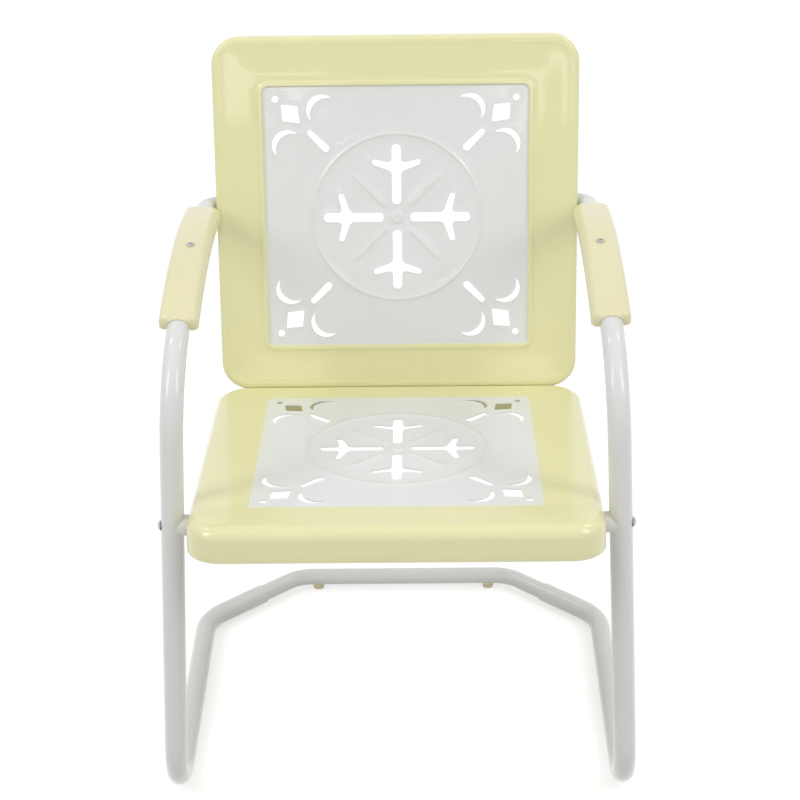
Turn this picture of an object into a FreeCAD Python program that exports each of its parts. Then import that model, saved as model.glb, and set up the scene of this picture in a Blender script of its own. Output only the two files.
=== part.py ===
import FreeCAD, Part
import math
import os

# Retro metal spring lawn chair, all sizes in millimetres.
# +Z is up and the sitter faces -Y, so the chair's own left is +X.
# While the pieces are built, y = 0 is where the line of the front legs meets the floor.
# At the end everything moves along Y, so that the origin lies under the middle of the chair.

V = FreeCAD.Vector
X_AXIS = V(1, 0, 0)
Y_AXIS = V(0, 1, 0)
Z_AXIS = V(0, 0, 1)

# Side tubes: runner, floor bend, front leg and arm are bent from one tube
tube_d = 27.0
tube_wall = 1.5
floor_bend_r = 85.0
leg_lean = 2.3
splay = 2.77
knee_r = 110.0
knee_top_z = 609.0
arm_rise = 20.0
arm_fall = 8.0
arm_crown_r = 560.0
arm_gap = 2.6
rear_bend_r = 32.0
rear_bend_depth = 4.0

# Floor frame behind the floor bends
runner_corner_y = 407.0
runner_bend_r = 62.0
corner_turn = 48.2
socket_len = 100.0
crossbar_y = 519.0
crossbar_d = 23.3
crossbar_wall = 1.5
crossbar_bend_r = 54.0
crossbar_insert = 45.0
crossbar_screw_inset = 22.0
glide_inset = 28.9
glide_w = 15.5
glide_wall = 2.4
glide_drop = 6.2
glide_foot_len = 17.0
glide_peg_d = 5.0
glide_peg_len = 6.0

# Flattened ends of the arm tubes and the brackets that they are bolted to
flat_start = 2.0
flat_taper = 16.0
flat_width = 38.0
flat_hole_inset = 11.0
bracket_w = 20.0
bracket_foot = 16.0
bracket_t = 2.5
bracket_crown = 42.0

# Pressed steel seat and back
sheet_t = 1.2
insert_size = 339.5
back_side_border = 64.25
seat_overhang = 5.0
seat_corner_r = 41.5
back_corner_r = 36.0
hem_return = 5.0
seat_front_border = 63.5
seat_rear_border = 51.5
seat_skirt = 41.0
seat_roll_r = 15.3
seat_tilt = 5.4
seat_centre_y = 168.4
seat_centre_z = 421.4
back_top_border = 63.5
back_bottom_border = 60.0
back_flange = 22.0
back_roll_r = 6.0
back_recline = 10.8
back_gap = -6.4
back_drop = 4.7
rim_width = 8.7
rim_step = 1.6
ridge_width = 7.6
ridge_step = 1.6
insert_step = 4.4
ridge_chamfer = 1.05
insert_corner_r = 8.0
step_wall_w = 1.6

# Pierced and embossed pattern, the same on seat and back
bead_height = 0.9
ring_r = 108.8
ring_bead_w = 4.4
rib_start = 25.0
rib_end = 74.5
rib_bead_w = 5.5
boss_r = 8.2
sprig_start = 17.5
sprig_end = 95.0
sprig_stem_w = 12.0
wing_root_near = 54.5
wing_root_far = 69.0
wing_tip_at = 71.5
wing_tip_out = 28.5
wing_tip_r = 3.6
corner_hole_at = 154.0
corner_hole_d = 8.5
kite_near = 174.0
kite_mid = 191.5
kite_far = 207.5
kite_half_w = 13.7
drop_near = 128.0
drop_near_r = 4.8
drop_far = 156.0
drop_far_r = 2.95
crescent_x = 95.0
crescent_y = 140.0
crescent_r = 19.3
crescent_bite = 7.9
crescent_bite_r = 21.9
crescent_tip_cut = 1.0

# Armrest shells
armrest_w = 46.5
armrest_t = 1.2
armrest_edge_r = 9.5
armrest_skirt = 2.0
armrest_lead = 18.0
armrest_seat = 0.1
armrest_notch = 0.5
armrest_back_gap = 30.0
armrest_screw_inset = 150.0

# Fasteners
seat_bolt_d = 6.0
seat_bolt_head_d = 12.7
seat_bolt_head_h = 3.6
seat_bolt_drop = 28.7
seat_spacer_d = 25.0
seat_washer_d = 15.0
seat_washer_t = 1.6
seat_nut_af = 10.0
seat_nut_h = 5.0
small_bolt_d = 5.0
small_head_af = 8.0
small_head_h = 3.5
small_washer_d = 10.0
small_washer_t = 1.0
small_nut_h = 4.0
screw_d = 4.2
screw_head_d = 9.5
screw_head_h = 2.2
screw_len = 12.0
screw_head_edge_r = 1.3
screw_slot_len = 5.2
screw_slot_w = 1.2
screw_slot_depth = 0.9
bolt_tail = 2.0

# Angles that join the seat's rear skirt to the lower flange of the back
angle_x = 122.0
angle_w = 46.0
angle_t = 3.0
angle_bolt_pitch = 26.0
angle_bolt_drop = 26.0
angle_lower_edge = 37.0
angle_flange_bolt = 15.5

# Clearances
hole_clear = 0.2
thread_clear = 0.05
cope_clear = 0.05
saddle_clear = 0.05
arm_notch_clear = 0.6
bracket_clear = 0.25
cut_lift = 1.0

# Worked-out sizes
tube_r = tube_d / 2
bore_r = tube_r - tube_wall
bar_r = crossbar_d / 2
insert_half = insert_size / 2
back_half = insert_half + back_side_border
seat_half = back_half + seat_overhang
seat_front = -(insert_half + seat_front_border)
seat_rear = insert_half + seat_rear_border
back_bottom = -(insert_half + back_bottom_border)
back_top = insert_half + back_top_border
arm_x = back_half + arm_gap + tube_r
arm_bolt_x = insert_half + ridge_width + bracket_clear + bracket_w / 2
half_track = arm_x + (knee_top_z - tube_r) * math.tan(math.radians(splay))
chamfer_run = (crossbar_y - runner_corner_y) / math.cos(math.radians(corner_turn))
crossbar_half = half_track - chamfer_run * math.sin(math.radians(corner_turn))
glide_x = crossbar_half - glide_inset
floor_turn = 90.0 + leg_lean
floor_bend_y = floor_bend_r * math.tan(math.radians(floor_turn / 2))
base_length = crossbar_y - floor_bend_y
base_slope = math.degrees(math.asin((bar_r + glide_drop - tube_r) / base_length))


def unit(vector):
    """The same direction, one millimetre long."""
    return V(vector).normalize()


def turned(vector, axis, degrees):
    """The vector turned about an axis through the origin."""
    return FreeCAD.Rotation(axis, degrees).multVec(vector)


def placement(origin, x_dir, y_dir, z_dir):
    """The placement whose own X, Y and Z point along the three directions."""
    matrix = FreeCAD.Matrix(
        x_dir.x, y_dir.x, z_dir.x, origin.x,
        x_dir.y, y_dir.y, z_dir.y, origin.y,
        x_dir.z, y_dir.z, z_dir.z, origin.z,
        0, 0, 0, 1)
    return FreeCAD.Placement(matrix)


def placed(shape, place):
    """A copy of the shape moved by a placement."""
    copy = shape.copy()
    copy.transformShape(place.toMatrix(), True)
    return copy


def along(shape, point, direction):
    """A copy of the shape with its own Z axis set along a direction from a point."""
    rotation = FreeCAD.Rotation(Z_AXIS, direction)
    return placed(shape, FreeCAD.Placement(point, rotation))


def mirrored(shape):
    """The same piece on the other side of the chair."""
    return shape.mirror(V(0, 0, 0), X_AXIS)


def both_sides(shape):
    """A piece and its mirror image, kept as separate solids."""
    return Part.makeCompound([shape, mirrored(shape)])


def fused(shapes):
    """One solid out of several that meet."""
    result = shapes[0]
    if len(shapes) > 1:
        result = shapes[0].multiFuse(shapes[1:])
    return result.removeSplitter()


# Frames of the seat and of the back, with the pattern's centre as origin.
# X runs across the chair; Y runs rearwards on the seat and upwards on the back.
seat_y_dir = turned(Y_AXIS, X_AXIS, -seat_tilt)
seat_z_dir = turned(Z_AXIS, X_AXIS, -seat_tilt)
seat_place = placement(V(0, seat_centre_y, seat_centre_z), X_AXIS, seat_y_dir, seat_z_dir)
back_y_dir = turned(Z_AXIS, X_AXIS, -back_recline)
back_z_dir = turned(-Y_AXIS, X_AXIS, -back_recline)
back_foot = seat_place.multVec(V(0, seat_rear + back_gap, -back_drop))
back_centre = back_foot - back_y_dir * back_bottom
back_place = placement(back_centre, X_AXIS, back_y_dir, back_z_dir)


class TubeWalk:
    """Follows a tube's centre line as a bender does, and sweeps a section along it."""

    def __init__(self, point, heading, up):
        self.point = V(point)
        self.heading = unit(heading)
        self.up = unit(up - self.heading * up.dot(self.heading))
        self.sections = []
        self.solids = []

    def section_face(self, section):
        side = self.up.cross(self.heading)
        return placed(section, placement(self.point, side, self.up, self.heading))

    def run(self, length):
        """Straight ahead."""
        for section in self.sections:
            self.solids.append(self.section_face(section).extrude(self.heading * length))
        self.point = self.point + self.heading * length
        return self

    def bend(self, radius, degrees, toward):
        """Round an arc whose centre lies in the direction given."""
        inward = unit(toward - self.heading * toward.dot(self.heading))
        centre = self.point + inward * radius
        axis = unit(self.heading.cross(inward))
        for section in self.sections:
            self.solids.append(self.section_face(section).revolve(centre, axis, degrees))
        self.point = centre + turned(self.point - centre, axis, degrees)
        self.heading = turned(self.heading, axis, degrees)
        self.up = turned(self.up, axis, degrees)
        return self


def ring_section(outer_r, inner_r):
    """The annular section of a tube, drawn about its own origin."""
    outer = Part.Face(Part.Wire(Part.makeCircle(outer_r)))
    inner = Part.Face(Part.Wire(Part.makeCircle(inner_r)))
    return outer.cut(inner).Faces[0]


# The floor frame lies in a plane that rises a little to the rear, up to the glides.
# The left side frame leans in its own plane, which is splayed outward at the floor.
base_dir = turned(Y_AXIS, X_AXIS, base_slope)
base_up = turned(Z_AXIS, X_AXIS, base_slope)
frame_up = turned(base_up, base_dir, -splay)
floor_start_z = tube_r + floor_bend_r * (math.cos(math.radians(splay)) - frame_up.z)
floor_start = V(half_track, floor_bend_y, floor_start_z)

leg_angle = 90.0 - leg_lean
leg_foot_walk = TubeWalk(floor_start, -base_dir, frame_up)
leg_foot_walk.bend(floor_bend_r, floor_turn, frame_up)
leg_foot = leg_foot_walk.point
leg_dir = leg_foot_walk.heading
knee_height = knee_r * (math.cos(math.radians(arm_rise)) - math.cos(math.radians(leg_angle)))
leg_height = (knee_top_z - leg_foot.z) / frame_up.z - knee_height
leg_len = leg_height / math.cos(math.radians(leg_lean))


def leg_point_below_seat(drop):
    """Where the leg's centre line passes a given depth below the seat's top."""
    seat_origin = seat_place.Base
    height = (leg_foot - seat_origin).dot(seat_z_dir)
    return leg_foot + leg_dir * ((-drop - height) / leg_dir.dot(seat_z_dir))


seat_bolt_point = leg_point_below_seat(seat_bolt_drop)


def arm_tail_length(point, heading, front_gap):
    """How far the arm goes on until it is a given distance in front of the back's face."""
    distance = (point - back_centre).dot(back_z_dir)
    return (distance - front_gap) / -heading.dot(back_z_dir)


def walk_leg_and_arm(walk):
    """From the floor bend up the leg, round the knee and along the arm."""
    walk.run(leg_len)
    walk.bend(knee_r, leg_angle - arm_rise, Y_AXIS)
    walk.bend(arm_crown_r, arm_rise + arm_fall, -frame_up)
    return walk


def walk_to_back(walk):
    """Leg, knee and arm, up to the bend behind the back."""
    walk_leg_and_arm(walk)
    walk.run(arm_tail_length(walk.point, walk.heading, -rear_bend_depth))
    return walk


def walk_behind_back(walk):
    """The bend inward behind the back, up to the flattening."""
    walk.bend(rear_bend_r, math.degrees(math.acos(-walk.heading.x)), -X_AXIS)
    walk.run(flat_start)
    return walk


def side_tube():
    """Front leg, knee and arm, with the flattened end that lies behind the back."""
    walk = TubeWalk(leg_foot, leg_dir, Y_AXIS)
    walk.sections = [ring_section(tube_r, bore_r)]
    walk_to_back(walk)
    walk_behind_back(walk)
    solids = walk.solids + flattened_end(walk.point)
    tube = fused(solids)
    bolt_hole = Part.makeCylinder(seat_bolt_d / 2 + hole_clear, tube_d * 2)
    tube = tube.cut(along(bolt_hole, seat_bolt_point - X_AXIS * tube_d, X_AXIS))
    screw_hole = Part.makeCylinder(screw_d / 2 + hole_clear, tube_r)
    return tube.cut(along(screw_hole, *armrest_screw_axis()))


def slot_wire(place, width, thickness):
    """A flat oval with round ends, across the local Y axis."""
    flat = width / 2 - thickness / 2
    half = thickness / 2
    edges = [
        Part.makeLine(V(-half, -flat, 0), V(-half, flat, 0)),
        Part.Arc(V(-half, flat, 0), V(0, flat + half, 0), V(half, flat, 0)).toShape(),
        Part.makeLine(V(half, flat, 0), V(half, -flat, 0)),
        Part.Arc(V(half, -flat, 0), V(0, -flat - half, 0), V(-half, -flat, 0)).toShape()]
    return placed(Part.Wire(edges), place)


def round_wire(place, radius):
    """A circle in four arcs that match the four sides of the flat oval."""
    points = []
    for index in range(8):
        turn = math.radians(225 - 45 * index)
        points.append(V(radius * math.cos(turn), radius * math.sin(turn), 0))
    edges = []
    for index in (0, 2, 4, 6):
        edges.append(Part.Arc(points[index], points[index + 1], points[(index + 2) % 8]).toShape())
    return placed(Part.Wire(edges), place)


def flat_end_origin(tube_end):
    """Centre of the flattened part where the taper ends, flush with the tube's front."""
    flush = back_z_dir * (tube_r - tube_wall)
    return tube_end - X_AXIS * flat_taper + flush


def flattened_end(tube_end):
    """The taper from round to flat and the flat tab that takes the bolt."""
    round_place = placement(tube_end, -back_z_dir, back_y_dir, -X_AXIS)
    flat_origin = flat_end_origin(tube_end)
    flat_place = placement(flat_origin, -back_z_dir, back_y_dir, -X_AXIS)
    oval_wire = slot_wire(flat_place, flat_width, 2 * tube_wall)
    taper = Part.makeLoft([round_wire(round_place, tube_r), oval_wire], True, True)
    inner_wire = slot_wire(flat_place, flat_width - 2 * tube_wall, tube_wall / 2)
    hollow = Part.makeLoft([round_wire(round_place, bore_r), inner_wire], True, True)
    tab_length = flat_origin.x - arm_bolt_x + flat_hole_inset
    tab = Part.Face(oval_wire).extrude(-X_AXIS * tab_length)
    bolt_hole = Part.makeCylinder(small_bolt_d / 2 + hole_clear, tube_d)
    hole_start = V(arm_bolt_x, flat_origin.y, flat_origin.z) - back_z_dir * tube_r
    return [taper.cut(hollow), tab.cut(along(bolt_hole, hole_start, back_z_dir))]


def arm_end_point():
    """End of the arm tube's round part behind the back."""
    walk = TubeWalk(leg_foot, leg_dir, Y_AXIS)
    walk_to_back(walk)
    walk_behind_back(walk)
    return walk.point


def floor_spring():
    """The floor bend in front, where the tube flexes."""
    walk = TubeWalk(floor_start, -base_dir, frame_up)
    walk.sections = [ring_section(tube_r, bore_r)]
    walk.bend(floor_bend_r, floor_turn, frame_up)
    return fused(walk.solids)


def bend_inset(radius, turn):
    """Length that a bend takes from each of its two runs."""
    return radius * math.tan(math.radians(turn / 2))


def runner():
    """Floor runner with its rear corner and the socket for the crossbar."""
    walk = TubeWalk(floor_start, base_dir, base_up)
    walk.sections = [ring_section(tube_r, bore_r)]
    corner_inset = bend_inset(runner_bend_r, corner_turn)
    walk.run(runner_corner_y - floor_bend_y - corner_inset)
    walk.bend(runner_bend_r, corner_turn, -X_AXIS)
    walk.run(socket_len - corner_inset)
    return walk, fused(walk.solids)


def crossbar_screw_axis():
    """Point on the socket's rear face and the direction of its screw."""
    walk = runner()[0]
    normal = unit(base_up.cross(walk.heading))
    centre = walk.point - walk.heading * crossbar_screw_inset
    return centre - normal * tube_r, normal


def crossbar():
    """Rear crossbar, bent at both ends and pushed into the runners' sockets."""
    walk = TubeWalk(V(0, 0, 0), X_AXIS, base_up)
    walk.point = V(0, floor_start.y, floor_start.z) + base_dir * base_length
    walk.sections = [ring_section(bar_r, bar_r - crossbar_wall)]
    bar_turn = 90.0 - corner_turn
    corner_inset = bend_inset(crossbar_bend_r, bar_turn)
    walk.run(crossbar_half - corner_inset)
    walk.bend(crossbar_bend_r, bar_turn, -base_dir)
    walk.run(chamfer_run - socket_len + crossbar_insert - corner_inset)
    half = fused(walk.solids)
    bar = fused([half, mirrored(half)])
    peg_hole = Part.makeCylinder(glide_peg_d / 2 + hole_clear, bar_r)
    centre = V(glide_x, floor_start.y, floor_start.z) + base_dir * base_length
    hole = along(peg_hole, centre, -Z_AXIS)
    return bar.cut([hole, mirrored(hole)])


def glide():
    """Plastic glide: a saddle under the crossbar with a foot and a peg into the tube."""
    centre = V(glide_x, floor_start.y, floor_start.z) + base_dir * base_length
    start = centre - X_AXIS * (glide_w / 2)
    saddle = along(Part.makeCylinder(bar_r + glide_wall, glide_w), start, X_AXIS)
    foot_corner = V(start.x, centre.y - glide_foot_len / 2, 0)
    foot = Part.makeBox(glide_w, glide_foot_len, centre.z, foot_corner)
    foot = foot.makeFillet(glide_wall, lower_edges(foot, 0.0))
    body = saddle.fuse(foot)
    upper_size = 4 * bar_r
    upper = Part.makeBox(glide_w * 2, upper_size, upper_size)
    upper.translate(V(start.x - glide_w / 2, centre.y - upper_size / 2, centre.z))
    bar = along(Part.makeCylinder(bar_r + saddle_clear, glide_w), start, X_AXIS)
    floor_cut = Part.makeBox(glide_w * 2, upper_size, upper_size)
    floor_cut.translate(V(start.x - glide_w / 2, centre.y - upper_size / 2, -upper_size))
    body = body.cut([upper, bar, floor_cut])
    peg_top = centre.z - bar_r + glide_peg_len
    peg_foot = V(glide_x, centre.y, peg_top)
    peg = Part.makeCylinder(glide_peg_d / 2, glide_peg_len + glide_wall, peg_foot, -Z_AXIS)
    return fused([body, peg])


def lower_edges(shape, level):
    """The straight edges of a block that lie at one level."""
    return [edge for edge in shape.Edges if abs(edge.BoundBox.ZMax - level) < 1e-6]


def rounded_outline(half_x, low_y, high_y, radius, level):
    """A rectangle with round corners at a level of the panel's own Z."""
    corners = [(half_x, low_y, -90), (half_x, high_y, 0), (-half_x, high_y, 90), (-half_x, low_y, 180)]
    edges = []
    ends = []
    for x, y, angle in corners:
        centre = V(x - math.copysign(radius, x), y - math.copysign(radius, y - (low_y + high_y) / 2), level)
        points = []
        for step in (0, 45, 90):
            turn = math.radians(angle + step)
            points.append(centre + V(radius * math.cos(turn), radius * math.sin(turn), 0))
        ends.append((points[0], points[2]))
        edges.append(Part.Arc(*points).toShape())
    outline = []
    for index, arc in enumerate(edges):
        outline.append(arc)
        outline.append(Part.makeLine(ends[index][1], ends[(index + 1) % 4][0]))
    return Part.Wire(outline)


def stepped_block(half_x, low_y, high_y, radius, top, bottom, slope):
    """A block with round corners whose sides slope inward from top to bottom."""
    upper = rounded_outline(half_x, low_y, high_y, radius, top)
    lower = rounded_outline(half_x - slope, low_y + slope, high_y - slope, radius - slope, bottom)
    return Part.makeLoft([upper, lower], True, True)


def rolled_block(inset, half_x, low_y, high_y, corner_r, depth, roll_r):
    """The filled form of a panel: round corners, rolled upper edge and straight skirt."""
    outline = rounded_outline(half_x - inset, low_y + inset, high_y - inset, corner_r - inset, -inset)
    block = Part.Face(outline).extrude(V(0, 0, inset - depth))
    top_edges = [edge for edge in block.Edges if edge.BoundBox.ZMin > -inset - 1e-6]
    return block.makeFillet(roll_r - inset, top_edges)


def hem(half_x, low_y, high_y, corner_r, depth):
    """The narrow return along a skirt's lower edge."""
    bottom = -depth
    outer = rounded_outline(half_x, low_y, high_y, corner_r, bottom)
    inner = rounded_outline(
        half_x - hem_return, low_y + hem_return, high_y - hem_return, corner_r - hem_return, bottom)
    ring = Part.Face(outer).cut(Part.Face(inner)).Faces[0]
    return ring.extrude(V(0, 0, sheet_t))


def turned_about_z(shape, degrees):
    """A copy turned in the panel's plane about the pattern's centre."""
    copy = shape.copy()
    copy.rotate(V(0, 0, 0), Z_AXIS, degrees)
    return copy


def sprig_cut(depth):
    """One of the four sprigs: a stem with two swept wings."""
    half = sprig_stem_w / 2
    stem_len = sprig_end - half - sprig_start
    stem = Part.makeBox(sprig_stem_w, stem_len, 2 * depth, V(-half, sprig_start, -depth))
    tip = Part.makeCylinder(half, 2 * depth, V(0, sprig_end - half, -depth))
    pieces = [stem, tip]
    for side in (-1, 1):
        corners = [
            V(0, wing_root_near, -depth),
            V(side * wing_tip_out, wing_tip_at - wing_tip_r, -depth),
            V(side * wing_tip_out, wing_tip_at + wing_tip_r, -depth),
            V(0, wing_root_far, -depth)]
        outline = Part.makePolygon(corners + [corners[0]])
        pieces.append(Part.Face(outline).extrude(V(0, 0, 2 * depth)))
        pieces.append(Part.makeCylinder(wing_tip_r, 2 * depth, V(side * wing_tip_out, wing_tip_at, -depth)))
    return fused(pieces)


def teardrop_cut(depth):
    """Slot along the diagonal, wider toward the pattern's centre."""
    near = Part.makeCylinder(drop_near_r, 2 * depth, V(drop_near, 0, -depth))
    far = Part.makeCylinder(drop_far_r, 2 * depth, V(drop_far, 0, -depth))
    corners = [
        V(drop_near, -drop_near_r, -depth),
        V(drop_far, -drop_far_r, -depth),
        V(drop_far, drop_far_r, -depth),
        V(drop_near, drop_near_r, -depth)]
    middle = Part.Face(Part.makePolygon(corners + [corners[0]])).extrude(V(0, 0, 2 * depth))
    return fused([near, middle, far])


def kite_cut(depth):
    """Four-cornered hole on the diagonal."""
    corners = [
        V(kite_near, 0, -depth),
        V(kite_mid, -kite_half_w, -depth),
        V(kite_far, 0, -depth),
        V(kite_mid, kite_half_w, -depth)]
    return Part.Face(Part.makePolygon(corners + [corners[0]])).extrude(V(0, 0, 2 * depth))


def crescent_cut(depth):
    """A moon between the kite and the middle of the panel's upper edge."""
    moon = Part.makeCylinder(crescent_r, 2 * depth, V(crescent_x, crescent_y, -depth))
    bite_centre = V(crescent_x - crescent_bite, crescent_y - crescent_bite, -2 * depth)
    bite = Part.makeCylinder(crescent_bite_r, 4 * depth, bite_centre)
    moon = moon.cut(bite)
    far_side = Part.makeBox(4 * crescent_r, 4 * crescent_r, 4 * depth, V(-2 * crescent_r, 0, -2 * depth))
    far_side.rotate(V(0, 0, 0), Z_AXIS, -45)
    reach = crescent_tip_cut / math.sqrt(2)
    far_side.translate(V(crescent_x + reach, crescent_y + reach, 0))
    return moon.common(far_side)


def pattern_cuts(depth):
    """All the holes of the pattern, through a sheet near the panel's own Z = 0."""
    corner = []
    for shape in (teardrop_cut(depth), kite_cut(depth)):
        corner.append(turned_about_z(shape, 45))
    hole_centre = V(corner_hole_at, corner_hole_at, -depth)
    corner.append(Part.makeCylinder(corner_hole_d / 2, 2 * depth, hole_centre))
    moon = crescent_cut(depth)
    diagonal = V(1, -1, 0)
    corner.append(moon)
    corner.append(moon.mirror(V(0, 0, 0), diagonal))
    cuts = []
    for quarter in range(4):
        cuts.append(turned_about_z(sprig_cut(depth), 90 * quarter))
        for shape in corner:
            cuts.append(turned_about_z(shape, 90 * quarter))
    return cuts


def bead_arc(width):
    """Radius of a round bead with the width and height given."""
    return (width * width / 4 + bead_height * bead_height) / (2 * bead_height)


def pattern_beads(level):
    """The embossed ring, the four diagonal ribs and the centre boss."""
    ring_arc = bead_arc(ring_bead_w)
    ring = Part.makeTorus(ring_r, ring_arc, V(0, 0, level + bead_height - ring_arc))
    rib_arc = bead_arc(rib_bead_w)
    beads = [ring]
    for quarter in range(4):
        rib_level = level + bead_height - rib_arc
        rib = Part.makeCylinder(rib_arc, rib_end - rib_start, V(rib_start, 0, rib_level), X_AXIS)
        beads.append(turned_about_z(rib, 45 + 90 * quarter))
    boss_arc = bead_arc(2 * boss_r)
    beads.append(Part.makeSphere(boss_arc, V(0, 0, level + bead_height - boss_arc)))
    keep_depth = bead_height * 2 + sheet_t / 2
    keep = Part.makeCylinder(ring_r + ring_bead_w, keep_depth, V(0, 0, level - sheet_t / 2))
    return [bead.common(keep) for bead in beads]


def seat_pan():
    """Pressed seat with rolled edges, a deep skirt and the pierced pattern."""
    outline = (seat_half, seat_front, seat_rear, seat_corner_r)
    outer = rolled_block(0, *outline, seat_skirt, seat_roll_r)
    inner = rolled_block(sheet_t, *outline, seat_skirt + sheet_t, seat_roll_r)
    pan = outer.cut(inner)
    pan = fused([pan, hem(*outline, seat_skirt)] + pattern_beads(0))
    pan = pan.cut(pattern_cuts(seat_roll_r))
    pan = placed(pan, seat_place)
    return pan.cut(seat_bolt_holes() + angle_skirt_holes())


def stepped_front(inset):
    """The back's filled form: rim, lower border, ridge round the middle and sunk middle."""
    block = rolled_block(
        inset, back_half, back_bottom, back_top, back_corner_r, back_flange + inset, back_roll_r)
    rim = rim_width + back_roll_r / 2 - inset
    border_level = -rim_step - inset
    border = stepped_block(
        back_half - rim + cut_lift * step_wall_w, back_bottom + rim - cut_lift * step_wall_w,
        back_top - rim + cut_lift * step_wall_w, back_corner_r - rim + cut_lift * step_wall_w,
        border_level + rim_step + cut_lift, border_level, step_wall_w + cut_lift * step_wall_w)
    block = block.cut(border)
    ridge_half = insert_half + ridge_width - inset
    ridge_r = insert_corner_r + ridge_width - inset
    ridge = rounded_outline(ridge_half, -ridge_half, ridge_half, ridge_r, border_level)
    ridge_block = Part.Face(ridge).extrude(V(0, 0, ridge_step))
    top_edges = [edge for edge in ridge_block.Edges if edge.BoundBox.ZMin > border_level + ridge_step - 1e-6]
    ridge_block = ridge_block.makeChamfer(ridge_chamfer, top_edges)
    block = block.fuse(ridge_block)
    widening = step_wall_w + inset + cut_lift * step_wall_w
    middle_half = insert_half + widening
    top_level = border_level + ridge_step + cut_lift
    middle = stepped_block(
        middle_half, -middle_half, middle_half, insert_corner_r + widening,
        top_level, border_level + ridge_step - insert_step, step_wall_w + cut_lift * step_wall_w)
    return block.cut(middle)


def arm_notches():
    """Notches in both side flanges, where the arm tubes turn in behind the back."""
    walk = TubeWalk(leg_foot, leg_dir, Y_AXIS)
    walk_to_back(walk)
    walk.sections = [Part.Face(Part.Wire(Part.makeCircle(tube_r + arm_notch_clear)))]
    walk_behind_back(walk)
    notch = fused(walk.solids)
    return [notch, mirrored(notch)]


def back_panel():
    """Pressed back with a raised rim, a ridge round the sunk middle and a flange all round."""
    panel = stepped_front(0).cut(stepped_front(sheet_t))
    level = ridge_step - rim_step - insert_step
    edge_hem = hem(back_half, back_bottom, back_top, back_corner_r, back_flange)
    panel = fused([panel, edge_hem] + pattern_beads(level))
    panel = panel.cut(pattern_cuts(back_flange - sheet_t - cut_lift))
    panel = placed(panel, back_place)
    return panel.cut(angle_flange_holes() + arm_notches())


def armrest_outline(width, top, edge_r, skirt):
    """Upside-down U with round shoulders, drawn about the tube's centre."""
    half = width / 2
    side_top = top - edge_r
    shoulder = edge_r * (1 - math.sqrt(0.5))
    shoulder_x = half - shoulder
    shoulder_y = top - shoulder
    edges = [
        Part.makeLine(V(-half, -skirt, 0), V(-half, side_top, 0)),
        Part.Arc(V(-half, side_top, 0), V(-shoulder_x, shoulder_y, 0), V(-half + edge_r, top, 0)).toShape(),
        Part.makeLine(V(-half + edge_r, top, 0), V(half - edge_r, top, 0)),
        Part.Arc(V(half - edge_r, top, 0), V(shoulder_x, shoulder_y, 0), V(half, side_top, 0)).toShape(),
        Part.makeLine(V(half, side_top, 0), V(half, -skirt, 0)),
        Part.makeLine(V(half, -skirt, 0), V(-half, -skirt, 0))]
    return Part.Face(Part.Wire(edges))


armrest_under = tube_r + armrest_seat
armrest_top = armrest_under + armrest_t


armrest_lead_turn = math.degrees(armrest_lead / arm_crown_r)
armrest_turn = arm_rise + arm_fall - armrest_lead_turn


def armrest_start():
    """The walk at the armrest's front end, a little way along the arm."""
    walk = TubeWalk(leg_foot, leg_dir, -Y_AXIS)
    walk.run(leg_len)
    walk.bend(knee_r, leg_angle - arm_rise, Y_AXIS)
    walk.bend(arm_crown_r, armrest_lead_turn, -walk.up)
    return walk


def armrest_walk(walk):
    """Along the arm, up to the armrest's rear end in front of the back."""
    walk.bend(arm_crown_r, armrest_turn, -walk.up)
    walk.run(arm_tail_length(walk.point, walk.heading, armrest_back_gap))
    return walk


def armrest_screw_axis():
    """Point under the armrest screw's head and the direction of the screw."""
    walk = armrest_start()
    walk.bend(arm_crown_r, math.degrees(armrest_screw_inset / arm_crown_r), -walk.up)
    return walk.point + walk.up * armrest_top, -walk.up


def armrest():
    """Sheet-metal arm cover with a notched front end that wraps the tube."""
    shell = armrest_outline(armrest_w, armrest_top, armrest_edge_r, armrest_skirt)
    hollow = armrest_outline(
        armrest_w - 2 * armrest_t, armrest_under, armrest_edge_r - armrest_t, armrest_skirt + armrest_t)
    start = armrest_start()
    outer_walk = TubeWalk(start.point, start.heading, start.up)
    outer_walk.sections = [shell.cut(hollow).Faces[0]]
    armrest_walk(outer_walk)
    half_t = armrest_t / 2
    cap_outline = armrest_outline(
        armrest_w - armrest_t, armrest_top - half_t, armrest_edge_r - half_t, armrest_skirt - half_t)
    cap_walk = TubeWalk(start.point, start.heading, start.up)
    cap_walk.sections = [cap_outline]
    cap_walk.run(armrest_t)
    notch = Part.makeCylinder(tube_r + armrest_notch, 3 * armrest_t)
    notch_block = along(notch, start.point - start.heading * armrest_t, start.heading)
    cap = cap_walk.solids[0].cut(notch_block)
    lower = Part.makeBox(tube_d + 2 * armrest_notch, tube_d, 3 * armrest_t)
    lower.translate(V(-tube_r - armrest_notch, -tube_d, -armrest_t))
    side = start.up.cross(start.heading)
    cap = cap.cut(placed(lower, placement(start.point, side, start.up, start.heading)))
    cover = fused(outer_walk.solids + [cap])
    hole = Part.makeCylinder(screw_d / 2 + hole_clear, 3 * armrest_t)
    point, direction = armrest_screw_axis()
    return cover.cut(along(hole, point - direction * armrest_t, direction))


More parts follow.
